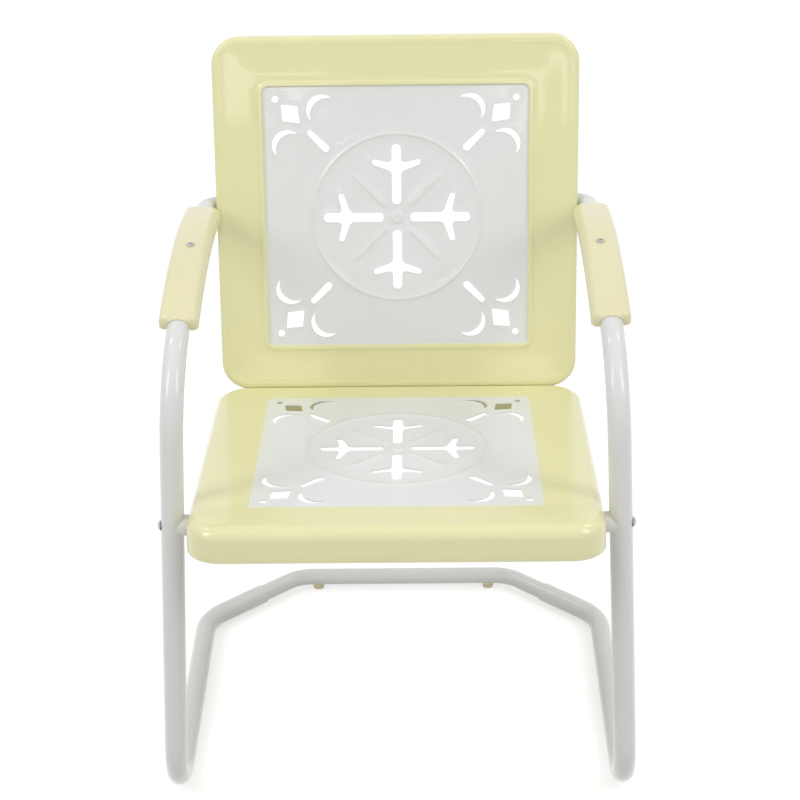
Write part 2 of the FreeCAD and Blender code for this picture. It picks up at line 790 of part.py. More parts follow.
def pan_screw(length):
    """Cross-head screw: head above its own Z = 0, shank below it along +Z."""
    head = Part.makeCylinder(screw_head_d / 2, screw_head_h, V(0, 0, -screw_head_h))
    top_edges = [edge for edge in head.Edges if edge.BoundBox.ZMax < -screw_head_h + 1e-6]
    head = head.makeFillet(screw_head_edge_r, top_edges)
    shank = Part.makeCylinder(screw_d / 2, length)
    screw = head.fuse(shank)
    for turn in (45, 135):
        slot = Part.makeBox(screw_slot_len, screw_slot_w, screw_slot_depth * 2)
        slot.translate(V(-screw_slot_len / 2, -screw_slot_w / 2, -screw_head_h - screw_slot_depth))
        screw = screw.cut(turned_about_z(slot, turn))
    return screw.removeSplitter()


def dome_bolt(length):
    """Dome-head bolt: head above its own Z = 0, shank below it along +Z."""
    radius = (seat_bolt_head_d ** 2 / 4 + seat_bolt_head_h ** 2) / (2 * seat_bolt_head_h)
    ball = Part.makeSphere(radius, V(0, 0, radius - seat_bolt_head_h))
    keep = Part.makeCylinder(seat_bolt_head_d / 2, seat_bolt_head_h, V(0, 0, -seat_bolt_head_h))
    shank = Part.makeCylinder(seat_bolt_d / 2, length)
    return fused([ball.common(keep), shank])


def hexagon(across_flats, height):
    """Six-sided prism on its own Z = 0."""
    corner_r = across_flats / math.sqrt(3)
    points = []
    for index in range(7):
        turn = math.radians(60 * index)
        points.append(V(corner_r * math.cos(turn), corner_r * math.sin(turn), 0))
    return Part.Face(Part.makePolygon(points)).extrude(V(0, 0, height))


def hex_bolt(length):
    """Small hexagon bolt: head above its own Z = 0, shank below it along +Z."""
    head = hexagon(small_head_af, small_head_h)
    head.translate(V(0, 0, -small_head_h))
    shank = Part.makeCylinder(small_bolt_d / 2, length)
    return fused([head, shank])


def hex_nut(across_flats, height, bolt_d):
    """Hexagon nut on its own Z = 0."""
    return hexagon(across_flats, height).cut(Part.makeCylinder(bolt_d / 2 + thread_clear, height))


def washer(outer_d, thickness, bolt_d):
    """Flat washer on its own Z = 0."""
    disc = Part.makeCylinder(outer_d / 2, thickness)
    return disc.cut(Part.makeCylinder(bolt_d / 2 + hole_clear, thickness))


# The seat bolt runs from the leg's outer face to the inside of the seat's skirt
seat_bolt_head_x = (
    seat_bolt_point.x + tube_r / math.cos(math.radians(splay))
    + seat_bolt_head_d / 2 * math.tan(math.radians(splay)))
seat_skirt_inside = seat_half - sheet_t


def seat_bolt_at(x):
    """A point on the seat bolt's axis."""
    return V(x, seat_bolt_point.y, seat_bolt_point.z)


def seat_bolt_holes():
    """Holes in both side skirts for the seat bolts."""
    drill = Part.makeCylinder(seat_bolt_d / 2 + hole_clear, 4 * sheet_t)
    hole = along(drill, seat_bolt_at(seat_half + sheet_t), -X_AXIS)
    return [hole, mirrored(hole)]


def seat_bolt():
    stack = seat_bolt_head_x - seat_skirt_inside + seat_washer_t + seat_nut_h
    return along(dome_bolt(stack + bolt_tail), seat_bolt_at(seat_bolt_head_x), -X_AXIS)


def seat_spacer():
    """Round spacer between leg and seat, hollowed at one end to fit the leg."""
    length = seat_bolt_point.x - seat_half
    spacer = Part.makeCylinder(seat_spacer_d / 2, length)
    spacer = spacer.cut(Part.makeCylinder(seat_bolt_d / 2 + hole_clear, length))
    spacer = along(spacer, seat_bolt_at(seat_half), X_AXIS)
    leg = Part.makeCylinder(tube_r + cope_clear, 4 * seat_spacer_d)
    leg = along(leg, seat_bolt_point - leg_dir * (2 * seat_spacer_d), leg_dir)
    return spacer.cut(leg)


def seat_washer():
    ring = washer(seat_washer_d, seat_washer_t, seat_bolt_d)
    return along(ring, seat_bolt_at(seat_skirt_inside), -X_AXIS)


def seat_nut():
    nut = hex_nut(seat_nut_af, seat_nut_h, seat_bolt_d)
    return along(nut, seat_bolt_at(seat_skirt_inside - seat_washer_t), -X_AXIS)


# The arm's flat end is bolted to a bracket welded behind the back
arm_end = arm_end_point()
flat_origin = flat_end_origin(arm_end)
arm_bolt_point = V(arm_bolt_x, flat_origin.y, flat_origin.z)
arm_bolt_local = back_place.inverse().multVec(arm_bolt_point)
bracket_crown_level = arm_bolt_local.z + tube_wall


def back_bracket():
    """Hat-shaped bracket: two feet on the sheet and a crown that the arm rests on."""
    half_crown = bracket_crown / 2
    foot_end = half_crown + bracket_foot
    low = -sheet_t - rim_step
    crown = bracket_crown_level
    t = bracket_t
    points = [
        (-foot_end, low), (-foot_end, low - t), (-half_crown, low - t), (-half_crown, crown),
        (half_crown, crown), (half_crown, low - t), (foot_end, low - t), (foot_end, low),
        (half_crown - t, low), (half_crown - t, crown + t),
        (-half_crown + t, crown + t), (-half_crown + t, low)]
    corners = [V(-bracket_w / 2, y, z) for y, z in points]
    profile = Part.Face(Part.makePolygon(corners + [corners[0]]))
    hat = profile.extrude(V(bracket_w, 0, 0))
    hat.translate(V(arm_bolt_local.x, arm_bolt_local.y, 0))
    hat = placed(hat, back_place)
    drill = Part.makeCylinder(small_bolt_d / 2 + hole_clear, 4 * bracket_t)
    return hat.cut(along(drill, arm_bolt_point - back_z_dir * bracket_t, back_z_dir))


def arm_bolt_at(depth):
    """A point on the arm bolt's axis, behind the flat end's middle."""
    return arm_bolt_point - back_z_dir * depth


def arm_bolt():
    stack = 2 * tube_wall + small_washer_t + bracket_t + small_nut_h
    return along(hex_bolt(stack + bolt_tail), arm_bolt_at(tube_wall + small_washer_t), back_z_dir)


def arm_washer():
    ring = washer(small_washer_d, small_washer_t, small_bolt_d)
    return along(ring, arm_bolt_at(tube_wall + small_washer_t), back_z_dir)


def arm_nut():
    nut = hex_nut(small_head_af, small_nut_h, small_bolt_d)
    return along(nut, arm_bolt_at(-tube_wall - bracket_t), back_z_dir)


def meet(point, direction, other, across):
    """Where two lines in the chair's middle plane meet."""
    gap = other - point
    scale = direction.y * across.z - direction.z * across.y
    return point + direction * ((gap.y * across.z - gap.z * across.y) / scale)


def seat_back_angle():
    """Steel angle under the joint of seat and back."""
    skirt_front = seat_place.multVec(V(0, seat_rear, -angle_lower_edge))
    skirt_rear = seat_place.multVec(V(0, seat_rear + angle_t, -angle_lower_edge))
    flange_rear = back_place.multVec(V(0, back_bottom, -back_flange))
    flange_lower = back_place.multVec(V(0, back_bottom - angle_t, -back_flange))
    inner_corner = meet(skirt_rear, seat_z_dir, flange_lower, back_z_dir)
    outer_corner = meet(skirt_front, seat_z_dir, flange_rear, back_z_dir)
    corners = [skirt_front, skirt_rear, inner_corner, flange_lower, flange_rear, outer_corner]
    profile = Part.Face(Part.makePolygon(corners + [corners[0]]))
    angle = profile.extrude(X_AXIS * angle_w)
    angle.translate(X_AXIS * (angle_x - angle_w / 2))
    return angle.cut(angle_skirt_holes() + angle_flange_holes())


def angle_bolt_xs():
    """Where the bolts of one angle stand across the chair."""
    return [angle_x - angle_bolt_pitch / 2, angle_x + angle_bolt_pitch / 2]


def skirt_bolt_axis(x):
    """Point on the rear face of the angle's lower leg, and the direction forward."""
    return seat_place.multVec(V(x, seat_rear + angle_t, -angle_bolt_drop)), -seat_y_dir


def flange_bolt_axis(x):
    """Point under the angle's upper leg, and the direction up into the flange."""
    return back_place.multVec(V(x, back_bottom - angle_t, -angle_flange_bolt)), back_y_dir


def angle_bolt_axes():
    """Axes of the four bolts of the left angle."""
    axes = []
    for x in angle_bolt_xs():
        axes.append(skirt_bolt_axis(x))
        axes.append(flange_bolt_axis(x))
    return axes


def drilled(axes):
    """Drills through sheet and angle on both sides of the chair."""
    drill = Part.makeCylinder(small_bolt_d / 2 + hole_clear, 4 * angle_t)
    holes = []
    for point, direction in axes:
        hole = along(drill, point - direction * angle_t, direction)
        holes.append(hole)
        holes.append(mirrored(hole))
    return holes


def angle_skirt_holes():
    return drilled([skirt_bolt_axis(x) for x in angle_bolt_xs()])


def angle_flange_holes():
    return drilled([flange_bolt_axis(x) for x in angle_bolt_xs()])


def angle_fasteners(make, offset):
    """One fastener on each axis of both angles, moved along the axis by an offset."""
    group = []
    for point, direction in angle_bolt_axes():
        piece = along(make(), point + direction * offset, direction)
        group.append(piece)
        group.append(mirrored(piece))
    return Part.makeCompound(group)


def angle_bolts():
    length = small_washer_t + angle_t + sheet_t + small_nut_h + bolt_tail
    return angle_fasteners(lambda: hex_bolt(length), -small_washer_t)


def angle_washers():
    return angle_fasteners(lambda: washer(small_washer_d, small_washer_t, small_bolt_d), -small_washer_t)


def angle_nuts():
    return angle_fasteners(lambda: hex_nut(small_head_af, small_nut_h, small_bolt_d), angle_t + sheet_t)


def crossbar_screw():
    point, direction = crossbar_screw_axis()
    return along(pan_screw(screw_len), point, direction)


def drilled_runner():
    """The left runner with the hole for its screw."""
    drill = Part.makeCylinder(screw_d / 2 + hole_clear, screw_len)
    point, direction = crossbar_screw_axis()
    return runner()[1].cut(along(drill, point - direction, direction))


def drilled_crossbar():
    """The crossbar with the screw holes at both ends."""
    drill = Part.makeCylinder(screw_d / 2 + hole_clear, screw_len)
    point, direction = crossbar_screw_axis()
    hole = along(drill, point - direction, direction)
    return crossbar().cut([hole, mirrored(hole)])


def armrest_screw():
    point, direction = armrest_screw_axis()
    return along(pan_screw(screw_len), point, direction)


def pair(name, shape):
    """Left and right nodes of one piece."""
    return {name + "_left": shape, name + "_right": mirrored(shape)}


def chair():
    """Every node of the chair by name."""
    nodes = {}
    nodes.update(pair("side_tube", side_tube()))
    nodes.update(pair("floor_spring", floor_spring()))
    nodes.update(pair("runner", drilled_runner()))
    nodes["rear_crossbar"] = drilled_crossbar()
    nodes["crossbar_screws"] = both_sides(crossbar_screw())
    nodes.update(pair("crossbar_glide", glide()))
    nodes["seat_pan"] = seat_pan()
    nodes["back_panel"] = back_panel()
    nodes.update(pair("armrest", armrest()))
    nodes["armrest_screws"] = both_sides(armrest_screw())
    nodes["seat_bolts"] = both_sides(seat_bolt())
    nodes["seat_spacers"] = both_sides(seat_spacer())
    nodes["seat_bolt_washers"] = both_sides(seat_washer())
    nodes["seat_bolt_nuts"] = both_sides(seat_nut())
    nodes.update(pair("back_bracket", back_bracket()))
    nodes["arm_bolts"] = both_sides(arm_bolt())
    nodes["arm_bolt_washers"] = both_sides(arm_washer())
    nodes["arm_bolt_nuts"] = both_sides(arm_nut())
    nodes.update(pair("seat_back_angle", seat_back_angle()))
    nodes["angle_bolts"] = angle_bolts()
    nodes["angle_bolt_washers"] = angle_washers()
    nodes["angle_bolt_nuts"] = angle_nuts()
    return nodes


def centred(nodes):
    """All nodes moved along Y, so that the origin lies under the middle of the chair."""
    box = FreeCAD.BoundBox()
    for shape in nodes.values():
        box.add(shape.optimalBoundingBox(False))
    shift = V(0, -(box.YMin + box.YMax) / 2, 0)
    for shape in nodes.values():
        shape.translate(shift)
    return shift


def main():
    os.makedirs("parts", exist_ok=True)
    nodes = chair()
    shift = centred(nodes)
    print("moved along Y by", round(shift.y, 4))
    for name, shape in nodes.items():
        print(name, len(shape.Solids), round(shape.Volume), shape.isValid())
        shape.exportStep(os.path.join("parts", name + ".step"))


main()
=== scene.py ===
import math

import bmesh
import bpy
import numpy as np
from mathutils import Matrix, Quaternion, Vector, geometry, kdtree


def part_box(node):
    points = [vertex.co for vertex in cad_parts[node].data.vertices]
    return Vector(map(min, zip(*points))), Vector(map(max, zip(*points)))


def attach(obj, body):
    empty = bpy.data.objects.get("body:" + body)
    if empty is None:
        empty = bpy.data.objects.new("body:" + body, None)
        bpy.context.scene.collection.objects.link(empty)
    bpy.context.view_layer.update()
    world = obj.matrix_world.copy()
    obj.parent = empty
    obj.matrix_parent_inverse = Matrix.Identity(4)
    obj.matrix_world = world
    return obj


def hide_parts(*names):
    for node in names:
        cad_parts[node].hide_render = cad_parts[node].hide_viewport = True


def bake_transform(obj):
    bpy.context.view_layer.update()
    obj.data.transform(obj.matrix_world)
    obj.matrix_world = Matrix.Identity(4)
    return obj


bl_info = {
    "name": "Metal Lawn Chair",
    "version": (1, 0, 0),
    "blender": (4, 5, 0),
    "location": "3D View > Sidebar > Lawn Chair",
    "description": "Dresses the packed frame of a painted steel lawn chair",
    "category": "Object",
}

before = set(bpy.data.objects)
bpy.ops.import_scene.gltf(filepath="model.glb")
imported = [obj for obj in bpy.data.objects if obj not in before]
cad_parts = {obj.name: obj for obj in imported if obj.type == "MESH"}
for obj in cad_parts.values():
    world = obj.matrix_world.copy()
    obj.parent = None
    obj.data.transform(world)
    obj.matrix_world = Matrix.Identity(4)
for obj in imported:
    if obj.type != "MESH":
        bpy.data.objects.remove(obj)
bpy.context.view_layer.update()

MM = 0.001
X_AXIS, Y_AXIS, Z_AXIS = Vector((1, 0, 0)), Vector((0, 1, 0)), Vector((0, 0, 1))
SIDES = ("left", "right")

# How finely shapes are divided
TUBE_SIDES = 48         # round a tube
FLAT_ROWS = 12          # from the round tube to its flattened end
HOLE_STEP = 1.5 * MM    # along a hole's edge
SAMPLE_STEP = 0.3 * MM  # along a hole's edge, where distances to it are measured
EDGE_STEP = 7 * MM      # along a panel's edge
LEDGE_STEP = 6 * MM     # along the ledges of the back
CORNER_STEP = math.radians(14)  # round a hole's soft corner
ROLL_STEPS = 12         # down a panel's rolled edge
ARMREST_ROWS = 70       # along an armrest
DOME_ROWS = 12          # from a dome head's top to its rim
SHARP_EDGE = 35.0       # degrees; sharper edges aren't smoothed
QUARTERS = (0, 90, 180, 270)
DIAGONALS = (45, 135, 225, 315)

# Tubes, armrests and glides
NOTCH_CLEAR = 1.2 * MM  # how much wider than the tube the cuts in the back's flange are
FLAT_SQUARE = 0.62      # how square the flattened end is, from 0, oval, to 1
NOSE_CLEAR = 0.2 * MM   # between the armrest's bent nose and the tube
ARCH_CLEAR = 0.15 * MM  # between the armrest's front arch and the tube
SADDLE_CLEAR = 0.1 * MM  # between a glide and the crossbar
GLIDE_CORNER_R = 2.8 * MM  # lower edges of a glide's foot

# Fasteners
HEX_CORNER = 0.045      # rounding of a hexagon, as a share of its width across flats
SHANK_CHAMFER = 0.3     # length of a bolt's chamfer, as a share of its radius
DOME_EVEN = 1.6         # sets the rows of a dome closer together toward its rim

# Seat and back
HEM_R = 1.4 * MM        # where the skirt turns into the hem
KITE_R = 1.3 * MM       # corners of a kite
SPRIG_START_R = 4.5 * MM  # corners at a sprig's inner end
WING_FRONT_R, WING_END_R, WING_REAR_R = 7 * MM, 3.2 * MM, 5 * MM  # corners of a wing
RING_FLARE, RIB_FLARE = 0.8, 0.95  # half of a bead's foot, as a share of the bead's width
LIP_PEAK, LIP_SPREAD = 0.6 * MM, 1.2 * MM  # place and width of the raised edge at a hole
LIP_ROWS = (0.5 * MM, 1.1 * MM, 1.8 * MM, 2.8 * MM)  # where the net follows a hole
HOLE_CLEAR, EDGE_CLEAR = 0.35 * MM, 1.0 * MM  # the net keeps this far from holes and edge
# How far outside its line each ledge starts, and how long its slope is
BOSS_EASE, BOSS_FALL = 0.8 * MM, 2.6 * MM
RIDGE_EASE, RIDGE_RISE = 1.2 * MM, 4.2 * MM
WALL_EASE, WALL_FALL = 0.5 * MM, 2.6 * MM
# The rim falls by this share in a short slope, and by the rest in a long one
RIM_SHARE, RIM_FALL, RIM_RUN = 0.25, 3.2 * MM, 45 * MM

# Paint and light
WHITE = (1, 1, 1, 1)
BACK_FIELD_R = 5 * MM   # corners of the painted field on the back
MASK_SOFT = 0.4 * MM    # half the width over which the sprayed field fades
AGED_TINT = (0.95, 0.945, 0.92, 1.0)
SPECK_COLOUR = (0.30, 0.27, 0.22, 1.0)
FLOOR_COLOUR = (0.58, 0.58, 0.58, 1)
LAMP_AIM = Vector((0, 0, 0.4))
# Lamps: name, place, width, height, and the value that holds its watts
KEY_LAMP = ("key_light", (-0.2, -0.9, 3.2), 2.4, 2.4, "key_power")
TWIN_LAMPS = [
    ("side_light", (1.75, -1.15, 2.0), 0.7, 1.1, "side_power"),
    ("streak_light", (1.5, 0.5, 2.5), 0.3, 0.5, "streak_power"),
    ("small_light", (0.36, -3.0, 1.0), 0.24, 0.2, "glow_power"),
]


# Property helpers: lengths are typed in millimetres and angles in degrees

def length(name, millimetres, text):
    return bpy.props.FloatProperty(
        name=name, description=text, default=millimetres * MM, unit="LENGTH", precision=5)


def angle(name, degrees, text):
    return bpy.props.FloatProperty(
        name=name, description=text, default=math.radians(degrees), subtype="ANGLE")


def number(name, value, text):
    return bpy.props.FloatProperty(name=name, description=text, default=value)


def colour(name, red, green, blue, text):
    """A colour typed as it looks on a screen, from 0 to 255."""
    linear = [((level / 255 + 0.055) / 1.055) ** 2.4 for level in (red, green, blue)]
    return bpy.props.FloatVectorProperty(
        name=name, description=text, default=linear, subtype="COLOR", size=3, min=0, max=1)


class ChairTubes(bpy.types.PropertyGroup):
    """Bent tubes of the side frames and the rear crossbar."""

    tube_d: length("Tube diameter", 27.0, "Outside of the side tubes")
    tube_wall: length("Tube wall", 1.5, "Wall of every tube")
    floor_bend_r: length("Floor bend radius", 85.0, "Centre line of the springy bend at the floor")
    leg_lean: angle("Leg lean", 2.3, "How far the legs lean forward")
    splay: angle("Splay", 2.77, "How far both side frames lean outward at the floor")
    knee_r: length("Knee radius", 110.0, "Bend from leg to arm")
    knee_top_z: length("Knee top height", 609.0, "Height of the tube's centre where the arm starts")
    arm_rise: angle("Arm rise", 20.0, "Slope of the arm at its front end")
    arm_fall: angle("Arm fall", 8.0, "Slope of the arm at its rear end")
    arm_crown_r: length("Arm crown radius", 560.0, "Long bend of the arm")
    arm_gap: length("Arm gap", 2.6, "Between the arm and the side of the back")
    rear_bend_r: length("Rear bend radius", 32.0, "Bend of the arm behind the back")
    rear_bend_depth: length("Rear bend depth", 4.0, "How far behind the back's face the rear bend starts")
    flat_start: length("Straight before flat", 2.0, "Round run before the flattened end")
    flat_taper: length("Flat taper", 16.0, "From round to flat")
    flat_width: length("Flat width", 38.0, "Width of the flattened end")
    flat_hole_inset: length("Flat end margin", 11.0, "From the bolt to the tab's end")
    bracket_w: length("Bracket width", 20.0, "Bracket behind the back that takes the arm bolt")
    bracket_clear: length("Bracket clearance", 0.25, "Between the bracket and the back's ridge")
    bracket_t: length("Bracket thickness", 2.5, "Sheet of the bracket")
    runner_corner_y: length("Runner corner", 407.0, "Rear corner of the runner behind the foot of the leg")
    runner_bend_r: length("Runner bend radius", 62.0, "Bend at the runner's rear corner")
    corner_turn: angle("Corner turn", 48.2, "Turn at the runner's rear corner")
    socket_len: length("Socket length", 100.0, "From the corner to the open end of the runner")
    crossbar_y: length("Crossbar position", 519.0, "Middle of the crossbar behind the foot of the leg")
    crossbar_d: length("Crossbar diameter", 23.3, "Outside of the crossbar")
    crossbar_bend_r: length("Crossbar bend radius", 54.0, "Bend at both ends of the crossbar")
    crossbar_insert: length("Crossbar insert", 45.0, "Length of crossbar inside the sockets")
    glide_drop: length("Glide drop", 6.2, "Glide below the crossbar")
    glide_wall: length("Glide wall", 2.3, "Plastic round the crossbar")
    glide_foot_len: length("Glide foot", 17.0, "Length of the glide's foot along the runners")
    glide_soft_r: length("Glide rounding", 4.6, "Rounded ends of the glides")
    glide_top: angle("Glide top", 42.0, "The saddle ends this far below the bar's middle")


class ChairPanels(bpy.types.PropertyGroup):
    """Pressed seat and back."""

    sheet_t: length("Sheet thickness", 1.2, "Steel sheet of seat and back")
    insert_size: length("Middle field", 339.5, "Side of the square field with the pattern")
    back_side_border: length("Back side border", 64.25, "Beside the field on the back")
    seat_overhang: length("Seat overhang", 5.0, "How much wider the seat is on each side")
    seat_corner_r: length("Seat corner radius", 41.5, "Corners of the seat from above")
    back_corner_r: length("Back corner radius", 36.0, "Corners of the back from the front")
    hem_return: length("Hem return", 5.0, "Edge turned in along the skirts")
    seat_front_border: length("Seat front border", 63.5, "In front of the field on the seat")
    seat_rear_border: length("Seat rear border", 51.5, "Behind the field on the seat")
    seat_skirt: length("Seat skirt", 41.0, "Depth of the seat's edge")
    seat_roll_r: length("Seat roll radius", 15.3, "Rolled upper edge of the seat")
    seat_tilt: angle("Seat tilt", 5.4, "The seat falls to the rear")
    seat_centre_y: length("Seat centre", 168.4, "Middle of the field behind the foot of the leg")
    seat_centre_z: length("Seat height", 421.4, "Height of the middle of the field")
    back_top_border: length("Back top border", 63.5, "Above the field on the back")
    back_bottom_border: length("Back bottom border", 60.0, "Below the field on the back")
    back_flange: length("Back flange", 22.0, "Depth of the back's edge")
    back_roll_r: length("Back roll radius", 6.0, "Rolled edge of the back")
    back_recline: angle("Back recline", 10.8, "The back leans to the rear")
    back_gap: length("Back gap", -6.4, "From the seat's rear edge to the back's face")
    back_drop: length("Back drop", 4.7, "The back's lower edge below the seat's top")
    rim_width: length("Rim width", 8.7, "Raised rim of the back")
    rim_step: length("Rim step", 1.6, "Height of the rim")
    ridge_width: length("Ridge width", 7.6, "Raised ridge round the back's field")
    insert_step: length("Field depth", 4.4, "How far the back's field is sunk below the ridge")
    insert_corner_r: length("Field corner radius", 8.0, "Corners of the back's sunk field")
    step_wall_w: length("Step wall", 1.6, "Width of the sloped walls of the steps")
    lip_height: length("Lip height", 0.45, "Soft raised edge round every hole")
    grid: length("Net spacing", 11.0, "Spacing of the net on the plain parts of a panel")


class ChairPattern(bpy.types.PropertyGroup):
    """Pierced and embossed pattern, measured from the middle of the field."""

    bead_height: length("Bead height", 1.4, "Height of ring, ribs and boss")
    ring_r: length("Ring radius", 108.8, "Embossed ring")
    ring_bead_w: length("Ring bead width", 4.4, "Width of the ring's bead")
    rib_start: length("Rib start", 25.0, "Inner end of the diagonal ribs")
    rib_end: length("Rib end", 74.5, "Outer end of the diagonal ribs")
    rib_bead_w: length("Rib bead width", 5.5, "Width of a rib")
    boss_r: length("Boss radius", 8.2, "Raised boss in the middle")
    sprig_start: length("Sprig start", 17.5, "Inner end of a sprig's stem")
    sprig_end: length("Sprig end", 95.0, "Outer end of a sprig's stem")
    sprig_stem_w: length("Sprig stem width", 11.6, "Width of the stem")
    wing_root_near: length("Wing root near", 57.8, "Inner edge of a wing at the stem")
    wing_root_far: length("Wing root far", 69.0, "Outer edge of a wing at the stem")
    wing_tip_at: length("Wing tip distance", 71.5, "Wing tip along the stem")
    wing_tip_out: length("Wing tip reach", 27.4, "Wing tip beside the stem")
    wing_tip_r: length("Wing tip radius", 3.6, "Round end of a wing")
    corner_hole_at: length("Corner hole place", 154.0, "Round hole across and along from the middle")
    corner_hole_d: length("Corner hole diameter", 8.5, "Round hole in the field's corners")
    kite_near: length("Kite near", 174.0, "Inner point of a kite on the diagonal")
    kite_mid: length("Kite middle", 191.5, "Widest place of a kite on the diagonal")
    kite_far: length("Kite far", 207.5, "Outer point of a kite on the diagonal")
    kite_half_w: length("Kite half width", 13.5, "Half the width of a kite")
    drop_near: length("Drop near", 128.0, "Wide end of a drop on the diagonal")
    drop_near_r: length("Drop near radius", 4.6, "Radius of the wide end")
    drop_far: length("Drop far", 156.0, "Narrow end of a drop on the diagonal")
    drop_far_r: length("Drop far radius", 3.5, "Radius of the narrow end")
    crescent_x: length("Crescent across", 95.0, "Centre of a crescent across the panel")
    crescent_y: length("Crescent along", 140.0, "Centre of a crescent along the panel")
    crescent_r: length("Crescent radius", 19.3, "Outer arc")
    crescent_bite: length("Crescent bite", 6.8, "How far the inner arc's centre is moved on each axis")
    crescent_bite_r: length("Crescent bite radius", 21.9, "Inner arc")
    crescent_tip_cut: length("Crescent tip cut", 1.0, "The tips end this far past the centre")


class ChairArmrests(bpy.types.PropertyGroup):
    """Sheet covers on the arms."""

    armrest_w: length("Armrest width", 46.5, "Across the arm")
    armrest_t: length("Armrest sheet", 1.2, "Sheet thickness")
    armrest_edge_r: length("Armrest shoulder", 9.5, "Rounded long edges")
    armrest_skirt: length("Armrest skirt", 2.0, "Sides below the tube's centre")
    armrest_lead: length("Armrest lead", 18.0, "Front end behind the start of the arm's long bend")
    armrest_seat: length("Armrest clearance", 0.1, "Between tube and sheet")
    armrest_back_gap: length("Armrest back gap", 30.0, "Rear end in front of the back")
    nose_r: length("Nose radius", 7.0, "Rounding of the front end")
    tail_r: length("Tail radius", 6.0, "Rounding of the rear corners")


class ChairFasteners(bpy.types.PropertyGroup):
    """Bolts, nuts, washers and the angles that they hold."""

    seat_bolt_d: length("Seat bolt", 6.0, "Shank diameter")
    seat_head_d: length("Seat bolt head", 12.7, "Dome head diameter")
    seat_head_h: length("Seat bolt head height", 3.6, "Dome head height")
    seat_bolt_drop: length("Seat bolt drop", 28.7, "Below the seat's top")
    seat_washer_d: length("Seat washer", 15.0, "Outside diameter")
    seat_washer_t: length("Seat washer thickness", 1.6, "Thickness")
    seat_nut_af: length("Seat nut", 10.0, "Across flats")
    seat_nut_h: length("Seat nut height", 5.0, "Height")
    small_d: length("Small bolt", 5.0, "Shank diameter")
    small_af: length("Small head", 8.0, "Across flats of head and nut")
    small_head_h: length("Small head height", 3.5, "Height of the head")
    small_washer_d: length("Small washer", 10.0, "Outside diameter")
    small_washer_t: length("Small washer thickness", 1.0, "Thickness")
    small_nut_h: length("Small nut height", 4.0, "Height")
    bolt_tail: length("Bolt tail", 2.0, "Thread beyond the nut")
    angle_x: length("Angle place", 122.0, "Middle of the angle across the chair")
    angle_t: length("Angle thickness", 3.0, "Steel of the angle")
    angle_bolt_pitch: length("Angle bolt pitch", 26.0, "Between the two bolts of a leg")
    angle_bolt_drop: length("Angle bolt drop", 26.0, "Below the seat's top")
    angle_flange_bolt: length("Flange bolt depth", 15.5, "Behind the back's face")


class ChairFinish(bpy.types.PropertyGroup):
    """Paint, metal and plastic."""

    tube_white: colour("Tube paint", 227, 227, 226, "White enamel of the tubes")
    field_white: colour("Field paint", 234, 236, 236, "White enamel of the middle fields")
    yellow: colour("Panel paint", 236, 233, 181, "Pale yellow enamel of seat and back")
    cream: colour("Armrest paint", 231, 226, 183, "Cream enamel of the armrests")
    zinc: colour("Zinc", 190, 190, 187, "Dull zinc plating")
    plastic: colour("Glide plastic", 222, 216, 180, "Moulded plastic of the glides")
    gloss: number("Paint roughness", 0.30, "Roughness of fresh enamel")
    peel: length("Orange peel", 0.006, "Depth of the fine ripple in sprayed paint")
    wave: length("Sheet wave", 0.03, "Depth of the long waves in the sheet")


class ChairStage(bpy.types.PropertyGroup):
    """Camera, lights and floor."""

    camera_place: bpy.props.FloatVectorProperty(
        name="Camera place", description="Where the camera stands", subtype="TRANSLATION",
        unit="LENGTH", default=(0.0338, -2.2003, 1.5771))
    lens: bpy.props.FloatProperty(
        name="Lens", description="Focal length on a 36 mm sensor", default=89.15, unit="CAMERA")
    yaw: angle("Yaw", -0.80, "Turn of the camera to the right")
    pitch: angle("Pitch", 27.015, "The camera looks down by this")
    roll: angle("Roll", -0.86, "Turn about the line of sight")
    key_power: number("Key light", 5.5, "Watts of the wide lamp above the chair")
    side_power: number("Side lights", 14.0, "Watts of each tall soft lamp in front at the sides")
    streak_power: number("Streak lights", 3.6, "Watts of each lamp that draws streaks on the tubes")
    glow_power: number("Small lights", 0.6, "Watts of each panel that shows in the back's corners")
    world_level: number("Surrounding light", 0.585, "Strength of the plain surroundings")
    floor_level: number("Floor lift", 0.60, "Brightness added to the floor where it is seen or mirrored")
    floor_fade: number("Far floor lift", 0.70, "The same, two metres away and beyond")


GROUPS = {
    "chair_tubes": ChairTubes,
    "chair_panels": ChairPanels,
    "chair_pattern": ChairPattern,
    "chair_armrests": ChairArmrests,
    "chair_fasteners": ChairFasteners,
    "chair_finish": ChairFinish,
    "chair_stage": ChairStage,
}


# Directions and paths

def turned(vector, axis, turn):
    """The vector turned about an axis through the origin, in radians."""
    return Quaternion(axis, turn) @ vector


def axes_matrix(origin, x_dir, y_dir, z_dir):
    """Matrix whose own X, Y and Z point along the three directions."""
    matrix = Matrix((x_dir, y_dir, z_dir)).transposed().to_4x4()
    matrix.translation = origin
    return matrix


def on_the_right(vector):
    """The mirror image on the other side of the chair."""
    return Vector((-vector.x, vector.y, vector.z))


